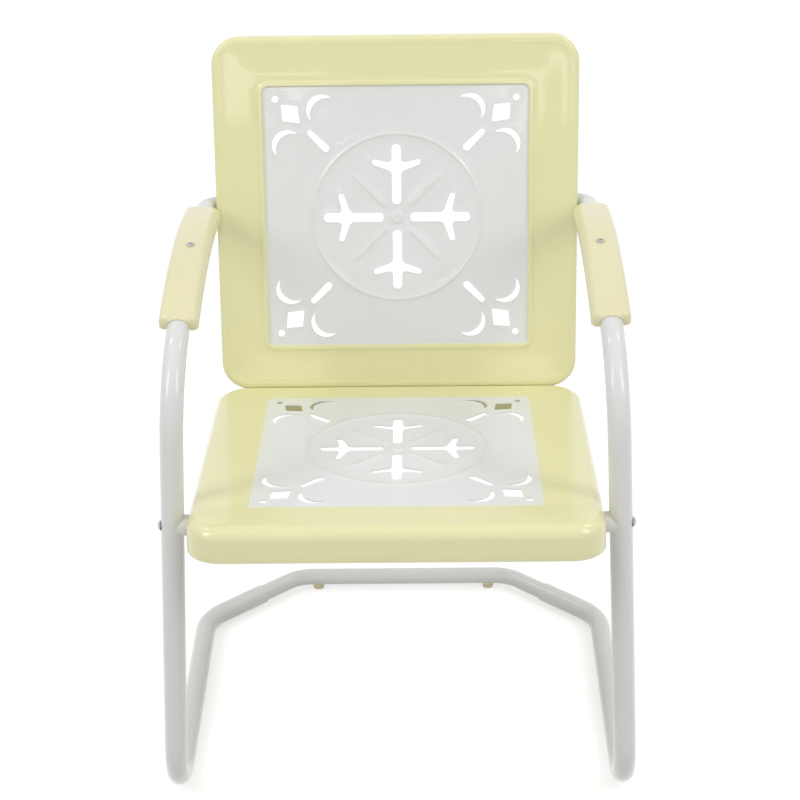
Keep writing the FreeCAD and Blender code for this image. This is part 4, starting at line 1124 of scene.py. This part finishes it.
def pierced_net(edge, holes, free):
    """Triangles between the edge and the holes, with each point's source and loop (0 is the edge)."""
    loops = [edge] + holes
    constraint, owner = [], []
    for which, loop in enumerate(loops):
        start, count = len(owner), len(loop)
        owner += [which] * count
        constraint += [(start + index, start + (index + 1) % count) for index in range(count)]
    owner += [-1] * len(free)
    spots = [Vector(point) for point in np.concatenate(loops + [free])]
    result = geometry.delaunay_2d_cdt(spots, constraint, [], 0, 1e-7, True)
    points = np.array([tuple(point) for point in result[0]])
    triangles = np.array(result[2])
    origin = [ids[0] if ids else -1 for ids in result[3]]
    owners = np.array([owner[index] if index >= 0 else -1 for index in origin])
    middle = points[triangles].mean(1)
    keep = np.ones(len(triangles), bool)
    for which, loop in enumerate(holes, 1):
        chosen = np.nonzero(np.all(owners[triangles] == which, 1))[0]
        keep[chosen] = ~inside_loop(middle[chosen], loop)
    return points, triangles[keep].tolist(), origin, owners


def panel_sheet(name, outline, roll_r, depth, k, p, height, extra, matrix):
    """A pressed sheet: pierced face, rolled edge, skirt and turned-in hem, as an open surface."""
    half, low, high, corner = outline
    flat = (half - roll_r, low + roll_r, high - roll_r, corner - roll_r)
    edge, edge_dirs = rounded_loop(*flat, EDGE_STEP)
    holes = pattern_holes(k, HOLE_STEP)
    edges = Nearest(np.concatenate([refined(loop, SAMPLE_STEP) for loop in holes]))
    free = net_points(outline, flat, p, holes, edges, extra)
    uvs, faces, origin, owners = pierced_net(edge, holes, free)
    heights = np.where(owners == 0, 0.0, height(uvs) + lip_heights(edges.distance(uvs), p))
    points = [(x, y, z) for (x, y), z in zip(uvs, heights)]
    uvs = list(uvs)
    place_of = {source: index for index, source in enumerate(origin) if source >= 0}
    count = len(edge)
    current = [place_of[index] for index in range(count)]
    for outward_by, drop in edge_profile(roll_r, depth, p.hem_return):
        following = range(len(points), len(points) + count)
        spots = edge + edge_dirs * outward_by
        points += [(x, y, -drop) for x, y in spots]
        uvs += list(spots)
        for index in range(count):
            after = (index + 1) % count
            faces.append((current[index], following[index], following[after], current[after]))
        current = following
    return mesh_object(name, [matrix @ Vector(point) for point in points], faces, uvs)


def edge_profile(roll_r, depth, hem_return):
    """Steps of the rolled edge, skirt and hem: (outward from the flat, down from the face)."""
    steps = []
    for part in range(1, ROLL_STEPS + 1):
        turn = math.pi / 2 * part / ROLL_STEPS
        steps.append((roll_r * math.sin(turn), roll_r * (1 - math.cos(turn))))
    for share in (1, 2, 3):
        steps.append((roll_r, roll_r + (depth - HEM_R - roll_r) * share / 3))
    for part in (1, 2, 3, 4):
        turn = math.pi / 2 * part / 4
        steps.append((roll_r - HEM_R * (1 - math.cos(turn)), depth - HEM_R * (1 - math.sin(turn))))
    return steps + [(roll_r - hem_return, depth)]


def finished_panel(sheet, thickness, name, cutters=()):
    solidify(sheet, thickness, under_slot=1)
    for cutter in cutters:
        cut = sheet.modifiers.new("Notch", "BOOLEAN")
        cut.operation = "DIFFERENCE"
        cut.solver = "EXACT"
        cut.object = cutter
    panel = baked(sheet, name, sharp=38.0)
    for cutter in cutters:
        bpy.data.objects.remove(cutter)
    return panel


# Round bodies for the fasteners, about their own Z axis

def arc_height(radius, offset):
    """Half the chord of a circle at a distance from its middle; 0 outside."""
    return math.sqrt(max(radius ** 2 - offset ** 2, 0))


def lathe(name, profile, sides=32):
    """A turned body from (radius, height) pairs; it closes on the axis at both ends."""
    points, faces = [(0, 0, profile[0][1])], []
    for radius, height in profile:
        for part in range(sides):
            turn = 2 * math.pi * part / sides
            points.append((radius * math.cos(turn), radius * math.sin(turn), height))
    points.append((0, 0, profile[-1][1]))
    top = len(points) - 1 - sides
    for part in range(sides):
        after = (part + 1) % sides
        faces.append((0, 1 + after, 1 + part))
        for low in range(1, top, sides):
            high = low + sides
            faces.append((low + part, low + after, high + after, high + part))
        faces.append((top + part, top + after, top + sides))
    return outward(mesh_object(name, points, faces))


def joined(name, parts):
    """One mesh from several objects, which are removed."""
    mesh = bpy.data.meshes.new(name)
    worked(mesh, *[lambda work, part=part: work.from_mesh(part.data) for part in parts])
    for part in parts:
        bpy.data.objects.remove(part)
    return link(bpy.data.objects.new(name, mesh))


def hexagon_body(name, across, low, high):
    """Six-sided head or nut with turned-off corners."""
    prism = lathe(name, [(across / math.sqrt(3), low), (across / math.sqrt(3), high)], 6)
    bevel(prism, across * HEX_CORNER, limit=30.0)
    return baked(prism, name)


def shank(name, diameter, distance):
    """Round bolt of a length along +Z with a chamfered end."""
    radius = diameter / 2
    cut = radius * SHANK_CHAMFER
    return lathe(name, [(radius, 0), (radius, distance - cut), (radius * 0.7, distance)], sides=24)


def dome_bolt(f, distance):
    """Dome head below its own Z = 0 and a shank along +Z."""
    radius = (f.seat_head_d ** 2 / 4 + f.seat_head_h ** 2) / (2 * f.seat_head_h)
    profile = [(0.2 * MM, -f.seat_head_h)]
    for part in range(1, DOME_ROWS + 1):
        height = f.seat_head_h * (1 - part / DOME_ROWS) ** DOME_EVEN
        profile.append((arc_height(radius, radius - f.seat_head_h + height), -height))
    return joined("dome_bolt", [lathe("head", profile), shank("shank", f.seat_bolt_d, distance)])


def hex_bolt(f, distance):
    head = hexagon_body("head", f.small_af, -f.small_head_h, 0)
    return joined("hex_bolt", [head, shank("shank", f.small_d, distance)])


def nut(across, height):
    return hexagon_body("nut", across, 0, height)


def washer(diameter, thickness, soft=0.15 * MM):
    radius = diameter / 2
    return lathe("washer", [(radius - soft, 0), (radius, soft),
                            (radius, thickness - soft), (radius - soft, thickness)])


def both_sides(axes):
    return axes + [(on_the_right(point), on_the_right(direction)) for point, direction in axes]


def fastener_set(name, model, axes, metal):
    """One fastener on each axis: (point, direction)."""
    source = mesh_object(name + "_points", [point for point, _ in axes])
    aim = source.data.attributes.new("aim", "FLOAT_VECTOR", "POINT")
    aim.data.foreach_set("vector", [value for _, direction in axes for value in direction])
    result = run_tree("Fastener set", source, name, {"Fastener": model, "Metal": metal})
    discarded(model)
    return result


def shifted(axes, offset):
    return [(point + direction * offset, direction) for point, direction in axes]


# Operators, one for each piece or group of like pieces

class CHAIR_OT_side_frames(bpy.types.Operator):
    """Bend both side tubes: runner, floor bend, leg, arm and the end behind the back"""

    bl_idname = "lawn_chair.side_frames"
    bl_label = "Side Frames"

    def execute(self, context):
        layout = Layout(context.scene)
        t = layout.t
        white = materials(context.scene)["tube_white"]
        points, rest = layout.side_path()
        tube = tube_mesh("side_tube_round", points, t.tube_d, t.tube_wall, white)
        left = joined("side_frame_left", [tube, self.flat_end(layout, rest)])
        smoothed(left.data)
        paint(left, white)
        for obj, side in zip((left, mirrored_copy(left)), SIDES):
            dressed(obj, None, "white_paint", "side_tube_" + side, "floor_spring_" + side, "runner_" + side)
            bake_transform(obj)
        return {"FINISHED"}

    def flat_end(self, layout, rest):
        """The round tube pressed flat, with the tab that takes the bolt."""
        t = layout.t
        round_r = layout.tube_r
        flat, bolt = layout.arm_flat()
        tab = flat.x - bolt.x + t.flat_hole_inset
        rows = []
        for part in range(FLAT_ROWS + 1):
            share = part / FLAT_ROWS
            ease = share * share * (3 - 2 * share)
            rows.append((rest.point.lerp(flat, share), round_r + (t.flat_width / 2 - round_r) * ease,
                         round_r + (t.tube_wall - round_r) * ease, ease))
        for share in (0.3, 0.6, 1.0):
            rows.append((flat - X_AXIS * (tab * share), t.flat_width / 2, t.tube_wall, 1.0))
        points = []
        for centre, half_w, half_t, ease in rows:
            power = 1 - FLAT_SQUARE * ease
            for part in range(TUBE_SIDES):
                turn = 2 * math.pi * part / TUBE_SIDES
                across, depth = [math.copysign(abs(value) ** power, value)
                                 for value in (math.cos(turn), math.sin(turn))]
                points.append(centre + layout.back_y * (half_w * across) + layout.back_z * (half_t * depth))
        faces = grid_faces(len(rows), TUBE_SIDES, inward=True)
        faces.append(tuple(range(len(points) - TUBE_SIDES, len(points))))
        return outward(mesh_object("flat_end", points, faces))


class CHAIR_OT_crossbar(bpy.types.Operator):
    """Bend the rear crossbar"""

    bl_idname = "lawn_chair.crossbar"
    bl_label = "Rear Crossbar"

    def execute(self, context):
        layout = Layout(context.scene)
        t = layout.t
        white = materials(context.scene)["tube_white"]
        bar = tube_mesh("rear_crossbar_tube", layout.crossbar_path(), t.crossbar_d, t.tube_wall, white)
        dressed(bar, "base", "white_paint", "rear_crossbar")
        return {"FINISHED"}


class CHAIR_OT_seat(bpy.types.Operator):
    """Press the seat with its pierced pattern"""

    bl_idname = "lawn_chair.seat"
    bl_label = "Seat"

    def execute(self, context):
        layout = Layout(context.scene)
        k = context.scene.chair_pattern
        p = layout.p
        finishes = materials(context.scene)
        outline = (layout.seat_half, layout.seat_front, layout.seat_rear, p.seat_corner_r)
        sheet = panel_sheet(
            "seat_sheet", outline, p.seat_roll_r, p.seat_skirt, k, p,
            lambda points: bead_heights(points, k), bead_net(k), layout.seat_matrix)
        paint(sheet, finishes["seat_paint"], finishes["panel_yellow"])
        seat = finished_panel(sheet, p.sheet_t, "seat_pressing")
        dressed(seat, "seat_unit", "yellow_paint", "seat_pan")
        return {"FINISHED"}


class CHAIR_OT_back(bpy.types.Operator):
    """Press the back with its rim, ridge and sunk field"""

    bl_idname = "lawn_chair.back"
    bl_label = "Back"

    def execute(self, context):
        layout = Layout(context.scene)
        k = context.scene.chair_pattern
        p = layout.p
        finishes = materials(context.scene)
        outline = (layout.back_half, layout.back_bottom, layout.back_top, p.back_corner_r)
        squares = []
        for width in (p.ridge_width, p.step_wall_w):
            half = layout.insert_half + width
            squares.append((half, -half, half, p.insert_corner_r + width))
        ridge, wall = squares

        def height(points):
            rim_in = inside_distance(points, *outline) - p.rim_width
            ridge_in = inside_distance(points, *ridge)
            wall_in = inside_distance(points, *wall)
            level = -RIM_SHARE * p.rim_step * smooth_step(rim_in / RIM_FALL)
            level -= (1 - RIM_SHARE) * p.rim_step * smooth_step(rim_in / RIM_RUN)
            level += p.rim_step * smooth_step((ridge_in + RIDGE_EASE) / RIDGE_RISE)
            level -= p.insert_step * smooth_step((wall_in + WALL_EASE) / WALL_FALL)
            return level + bead_heights(points, k)

        spread = np.linspace(-1.0, 3.0, 9) * MM
        extra = bead_net(k) + ledge_net([
            (*outline, p.rim_width + spread), (*ridge, spread * 1.2), (*wall, spread * 0.9)])
        sheet = panel_sheet(
            "back_sheet", outline, p.back_roll_r, p.back_flange, k, p, height, extra, layout.back_matrix)
        paint(sheet, finishes["back_paint"], finishes["panel_yellow"])
        back = finished_panel(sheet, p.sheet_t, "back_pressing", self.notches(layout))
        dressed(back, "seat_unit", "yellow_paint", "back_panel")
        return {"FINISHED"}

    def notches(self, layout):
        """Cutters for the flanges where the arms turn in behind the back."""
        rear_bend = layout.side_path()[1].points()[-20:]
        tube = run_tree("Bent tube", path_object("notch_path", rear_bend), "notch_left",
                        {"Diameter": layout.t.tube_d + NOTCH_CLEAR, "Sides": 40})
        worked(tube.data, lambda work: bmesh.ops.holes_fill(work, edges=work.edges), faces_out)
        return [tube, mirrored_copy(tube)]


class CHAIR_OT_armrests(bpy.types.Operator):
    """Form both armrest covers"""

    bl_idname = "lawn_chair.armrests"
    bl_label = "Armrests"

    def execute(self, context):
        layout = Layout(context.scene)
        a = layout.a
        cream = materials(context.scene)["armrest_cream"]
        stations = layout.armrest_path().stations
        travel = [0.0]
        for before, after in zip(stations, stations[1:]):
            travel.append(travel[-1] + (after[0] - before[0]).length)
        tail = travel[-1] - a.tail_r
        turns = [math.radians(10 * part) for part in range(10)]
        marks = [a.nose_r * (1 - math.cos(turn)) for turn in turns]
        marks += list(np.linspace(a.nose_r, tail, ARMREST_ROWS))[1:]
        marks += [travel[-1] - a.tail_r * (1 - math.sin(turn)) for turn in turns[1:-1]]
        rows = []
        for mark in marks:
            inset, drop = 0.0, 0.0
            if mark < a.nose_r:
                inset = drop = a.nose_r - arc_height(a.nose_r, a.nose_r - mark)
            elif mark > tail:
                inset = a.tail_r - arc_height(a.tail_r, mark - tail)
            profile = self.profile(layout, a.armrest_w / 2 - inset, layout.armrest_top)
            point, side, up = self.section(stations, travel, mark)
            rows.append([point + side * x + up * self.lowered(layout, x, y, drop) for x, y in profile])
        point, side, up = self.section(stations, travel, 0.0)
        front = [point + side * x + up * y for x, y in self.notch(layout, len(rows[0]))]
        inner = [[spot.lerp(goal, share) for spot, goal in zip(rows[0], front)] for share in (1.0, 0.5)]
        rows = inner + rows
        width = len(front)
        faces = grid_faces(len(rows), width, closed=False, inward=True)
        shell = mesh_object("armrest_shell", [spot for row in rows for spot in row], faces)
        if shell.data.polygons[width * 20].normal.dot(up) < 0:
            shell.data.flip_normals()
        paint(shell, cream)
        solidify(shell, a.armrest_t).modifiers[0].use_even_offset = False
        left = baked(shell, "armrest_cover_left", sharp=40.0)
        both_dressed(left, cream, "seat_unit", "cream_paint", "armrest_")
        return {"FINISHED"}

    def lowered(self, layout, x, y, drop):
        """The nose bends down, but not into the tube."""
        arch = arc_height(layout.tube_r + layout.a.armrest_t + NOSE_CLEAR, x)
        return min(y, max(y - drop, arch)) if y > 0 else y

    def section(self, stations, travel, mark):
        """Point, side and up of the arm at a distance from its cover's front end."""
        index = min(max(int(np.searchsorted(travel, mark)), 1), len(travel) - 1)
        share = (mark - travel[index - 1]) / (travel[index] - travel[index - 1])
        point, heading, up = [
            first.lerp(last, share) for first, last in zip(stations[index - 1], stations[index])]
        return point, up.cross(heading).normalized(), up

    def profile(self, layout, half, top):
        """Upside-down U about the tube's centre."""
        low = -layout.a.armrest_skirt
        edge = min(layout.a.armrest_edge_r, half * 0.8)
        points = [(-half, low + (top - edge - low) * part / 4) for part in range(4)]
        for part in range(11):
            turn = math.radians(180 - 9 * part)
            points.append((-half + edge + edge * math.cos(turn), top - edge + edge * math.sin(turn)))
        across = [(-(half - edge) + 2 * (half - edge) * part / 6, top) for part in range(1, 6)]
        return points + across + [(-x, y) for x, y in reversed(points)]

    def notch(self, layout, count):
        """Arch round the tube with as many points as the profile."""
        radius = layout.tube_r + ARCH_CLEAR
        straight = 4
        points = [(-radius, -layout.a.armrest_skirt * (1 - part / straight)) for part in range(straight)]
        turns = [math.radians(180 - 180 * part / (count - 2 * straight - 1))
                 for part in range(count - 2 * straight)]
        arch = [(radius * math.cos(turn), radius * math.sin(turn)) for turn in turns]
        return points + arch + [(-x, y) for x, y in reversed(points)]


class CHAIR_OT_fasteners(bpy.types.Operator):
    """Set all bolts, nuts and washers"""

    bl_idname = "lawn_chair.fasteners"
    bl_label = "Bolts, Nuts and Washers"

    def execute(self, context):
        layout = Layout(context.scene)
        f, t = layout.f, layout.t
        zinc = materials(context.scene)["zinc"]
        sheet = layout.p.sheet_t
        bolt = layout.seat_bolt
        head_x = bolt.x + layout.tube_r / math.cos(t.splay) + f.seat_head_d / 2 * math.tan(t.splay)
        inside = layout.seat_half - sheet
        inner = both_sides([(Vector((inside, bolt.y, bolt.z)), -X_AXIS)])
        outer = both_sides([(Vector((head_x, bolt.y, bolt.z)), -X_AXIS)])
        stack = head_x - inside + f.seat_washer_t + f.seat_nut_h + f.bolt_tail
        flat, arm = layout.arm_flat()
        arms = both_sides([(arm - layout.back_z * (t.tube_wall + f.small_washer_t), layout.back_z)])
        arm_stack = 2 * t.tube_wall + f.small_washer_t + t.bracket_t + f.small_nut_h + f.bolt_tail
        arm_nuts = shifted(arms, 2 * t.tube_wall + f.small_washer_t + t.bracket_t)
        angles = both_sides(self.angle_axes(layout))
        bolts = shifted(angles, -f.small_washer_t)
        small_stack = f.small_washer_t + f.angle_t + sheet + f.small_nut_h + f.bolt_tail
        sets = [
            ("seat_bolts", dome_bolt(f, stack), outer),
            ("seat_bolt_washers", washer(f.seat_washer_d, f.seat_washer_t), inner),
            ("seat_bolt_nuts", nut(f.seat_nut_af, f.seat_nut_h), shifted(inner, f.seat_washer_t)),
            ("arm_bolts", hex_bolt(f, arm_stack), arms),
            ("arm_bolt_washers", washer(f.small_washer_d, f.small_washer_t), arms),
            ("arm_bolt_nuts", nut(f.small_af, f.small_nut_h), arm_nuts),
            ("angle_bolts", hex_bolt(f, small_stack), bolts),
            ("angle_bolt_washers", washer(f.small_washer_d, f.small_washer_t), bolts),
            ("angle_bolt_nuts", nut(f.small_af, f.small_nut_h), shifted(angles, f.angle_t + sheet)),
        ]
        for node, model, axes in sets:
            piece = fastener_set(node + "_set", model, axes, zinc)
            dressed(piece, "seat_unit", "zinc_steel", node)
        return {"FINISHED"}

    def angle_axes(self, layout):
        """Axes of the four bolts of the left angle."""
        f = layout.f
        axes = []
        for offset in (-0.5, 0.5):
            x = f.angle_x + offset * f.angle_bolt_pitch
            skirt = layout.seat_matrix @ Vector((x, layout.seat_rear + f.angle_t, -f.angle_bolt_drop))
            axes.append((skirt, -layout.seat_y))
            flange = layout.back_matrix @ Vector((x, layout.back_bottom - f.angle_t, -f.angle_flange_bolt))
            axes.append((flange, layout.back_y))
        return axes


class CHAIR_OT_small_parts(bpy.types.Operator):
    """Soften the screws, spacers, brackets and angles"""

    bl_idname = "lawn_chair.small_parts"
    bl_label = "Screws, Spacers and Brackets"

    def execute(self, context):
        finishes = materials(context.scene)
        zinc = ("zinc_steel", "zinc", 0.12 * MM)
        white = ("white_paint", "tube_white", 0.5 * MM)
        yellow = ("yellow_paint", "panel_yellow", 0.5 * MM)
        parts = [("crossbar_screws", "base", zinc), ("armrest_screws", "seat_unit", zinc),
                 ("seat_spacers", "seat_unit", white)]
        for side in SIDES:
            parts.append(("back_bracket_" + side, "seat_unit", white))
            parts.append(("seat_back_angle_" + side, "seat_unit", yellow))
        for node, body, (slot, finish, width) in parts:
            name = node + "_soft"
            piece = baked(bevel(merged_node(node, name), width), name, sharp=32.0)
            dressed(paint(piece, finishes[finish]), body, slot, node)
        return {"FINISHED"}


class CHAIR_OT_glides(bpy.types.Operator):
    """Mould both glides under the crossbar"""

    bl_idname = "lawn_chair.glides"
    bl_label = "Glides"

    def execute(self, context):
        layout = Layout(context.scene)
        soft_r = layout.t.glide_soft_r
        low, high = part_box("crossbar_glide_left")
        marks = [soft_r * (1 - math.cos(math.radians(15 * part))) for part in range(7)]
        stations = [(low.x + mark, mark) for mark in marks]
        stations += [(high.x - mark, mark) for mark in reversed(marks)]
        points = []
        for x, mark in stations:
            profile = self.profile(layout, soft_r - arc_height(soft_r, soft_r - mark), high.z)
            points += [(x, (low.y + high.y) / 2 + y, high.z + z) for y, z in profile]
        width = len(profile)
        ends = [tuple(range(width)), tuple(range(len(points) - width, len(points)))]
        body = outward(mesh_object("glide_body", points, grid_faces(len(stations), width) + ends))
        left = baked(body, "crossbar_glide_left_soft", sharp=50.0)
        plastic = materials(context.scene)["glide_plastic"]
        both_dressed(left, plastic, "base", "olive_plastic", "crossbar_glide_")
        return {"FINISHED"}

    def profile(self, layout, inset, height):
        """Saddle under the bar, hidden from above, with a foot down to the floor."""
        t = layout.t
        inner = layout.bar_r + SADDLE_CLEAR
        outer = inner + t.glide_wall - min(inset, 0.6 * t.glide_wall)
        half = t.glide_foot_len / 2 - inset
        lean = math.degrees(math.acos(half / outer))
        foot_z = inset + GLIDE_CORNER_R - height
        top = math.degrees(t.glide_top)
        return np.concatenate([
            arc_points((0, 0), inner, top - 180, -top, 17),
            arc_points((0, 0), outer, -top, -lean, 9),
            arc_points((half - GLIDE_CORNER_R, foot_z), GLIDE_CORNER_R, 0, -90, 6),
            arc_points((GLIDE_CORNER_R - half, foot_z), GLIDE_CORNER_R, -90, -180, 6),
            arc_points((0, 0), outer, lean - 180, top - 180, 9)])


class CHAIR_OT_stage(bpy.types.Operator):
    """Set up the floor, lights, surroundings and camera"""

    bl_idname = "lawn_chair.stage"
    bl_label = "Stage"

    def execute(self, context):
        scene = context.scene
        s = scene.chair_stage
        scene.view_settings.view_transform = "Standard"
        self.floor(s)
        self.world(scene, s)
        self.lamp(s, 1, *KEY_LAMP)
        for side in (-1, 1):
            for lamp in TWIN_LAMPS:
                self.lamp(s, side, *lamp)
        scene.camera = self.camera(s)
        return {"FINISHED"}

    def camera(self, s):
        data = bpy.data.cameras.new("camera")
        data.lens = s.lens
        data.sensor_width = 36
        data.dof.use_dof = False
        camera = link(bpy.data.objects.new("camera", data))
        level = math.cos(s.pitch)
        forward = Vector((math.sin(s.yaw) * level, math.cos(s.yaw) * level, -math.sin(s.pitch)))
        right = Vector((math.cos(s.yaw), -math.sin(s.yaw), 0))
        up = right.cross(forward)
        side = right * math.cos(s.roll) + up * math.sin(s.roll)
        above = up * math.cos(s.roll) - right * math.sin(s.roll)
        camera.matrix_world = axes_matrix(Vector(s.camera_place), side, above, -forward)
        return camera

    def seen(self, wiring):
        """1 for what the camera sees, straight or in gloss and glass."""
        rays = wiring.node("ShaderNodeLightPath").outputs
        mirrored = wiring.maths("MAXIMUM", rays["Is Camera Ray"], rays["Is Glossy Ray"])
        return wiring.maths("MAXIMUM", mirrored, rays["Is Transmission Ray"])

    def floor(self, s, reach=12.0):
        corners = [(-reach, -reach, 0), (reach, -reach, 0), (reach, reach, 0), (-reach, reach, 0)]
        plane = mesh_object("floor", corners, [(0, 1, 2, 3)])
        finish = Finish("pale_floor")
        finish.surface(Base_Color=FLOOR_COLOUR, Roughness=0.7, Specular_IOR_Level=0.15)
        away = finish.node("ShaderNodeVectorMath", {0: finish.place}, operation="LENGTH").outputs["Value"]
        lift = finish.spread(away, 0.5, 2.0, s.floor_level, s.floor_fade)
        glow = finish.node(
            "ShaderNodeEmission", {"Strength": finish.maths("MULTIPLY", self.seen(finish), lift)})
        both = finish.node("ShaderNodeAddShader", {0: finish.shader.outputs[0], 1: glow.outputs[0]})
        finish.fill(finish.output, {"Surface": both.outputs[0]})
        paint(plane, finish.material)

    def world(self, scene, s):
        scene.world = scene.world or bpy.data.worlds.new("surroundings")
        scene.world.use_nodes = True
        scene.world.node_tree.nodes.clear()
        wiring = Wiring(scene.world.node_tree)
        light, view = [wiring.node("ShaderNodeBackground", {"Color": WHITE, "Strength": level}).outputs[0]
                       for level in (s.world_level, 1.0)]
        mix = wiring.node("ShaderNodeMixShader", {0: self.seen(wiring), 1: light, 2: view})
        wiring.node("ShaderNodeOutputWorld", {"Surface": mix.outputs[0]})

    def lamp(self, s, side, name, place, width, height, watts):
        data = bpy.data.lights.new(name, "AREA")
        data.shape = "RECTANGLE"
        data.size, data.size_y = width, height
        data.energy = getattr(s, watts)
        lamp = link(bpy.data.objects.new(name, data))
        lamp.location = (place[0] * side, place[1], place[2])
        lamp.rotation_mode = "QUATERNION"
        lamp.rotation_quaternion = (LAMP_AIM - lamp.location).to_track_quat("-Z", "Y")


OPERATORS = [
    CHAIR_OT_side_frames,
    CHAIR_OT_crossbar,
    CHAIR_OT_seat,
    CHAIR_OT_back,
    CHAIR_OT_armrests,
    CHAIR_OT_fasteners,
    CHAIR_OT_small_parts,
    CHAIR_OT_glides,
    CHAIR_OT_stage,
]


class CHAIR_PT_panel(bpy.types.Panel):
    """Buttons and sizes of the lawn chair"""

    bl_idname = "CHAIR_PT_panel"
    bl_label = "Lawn Chair"
    bl_space_type = "VIEW_3D"
    bl_region_type = "UI"
    bl_category = "Lawn Chair"

    def draw(self, context):
        column = self.layout.column()
        for operator in OPERATORS:
            column.operator(operator.bl_idname)
        for name, group in GROUPS.items():
            box = column.box()
            box.label(text=group.__doc__)
            for key in group.__annotations__:
                box.prop(getattr(context.scene, name), key)


def register():
    for name, group in GROUPS.items():
        bpy.utils.register_class(group)
        setattr(bpy.types.Scene, name, bpy.props.PointerProperty(type=group))
    for operator in OPERATORS:
        bpy.utils.register_class(operator)
    bpy.utils.register_class(CHAIR_PT_panel)


def unregister():
    bpy.utils.unregister_class(CHAIR_PT_panel)
    for operator in reversed(OPERATORS):
        bpy.utils.unregister_class(operator)
    for name, group in reversed(list(GROUPS.items())):
        delattr(bpy.types.Scene, name)
        bpy.utils.unregister_class(group)


def main():
    register()
    for operator in OPERATORS:
        group, name = operator.bl_idname.split(".")
        getattr(getattr(bpy.ops, group), name)()


if __name__ == "__main__":
    main()
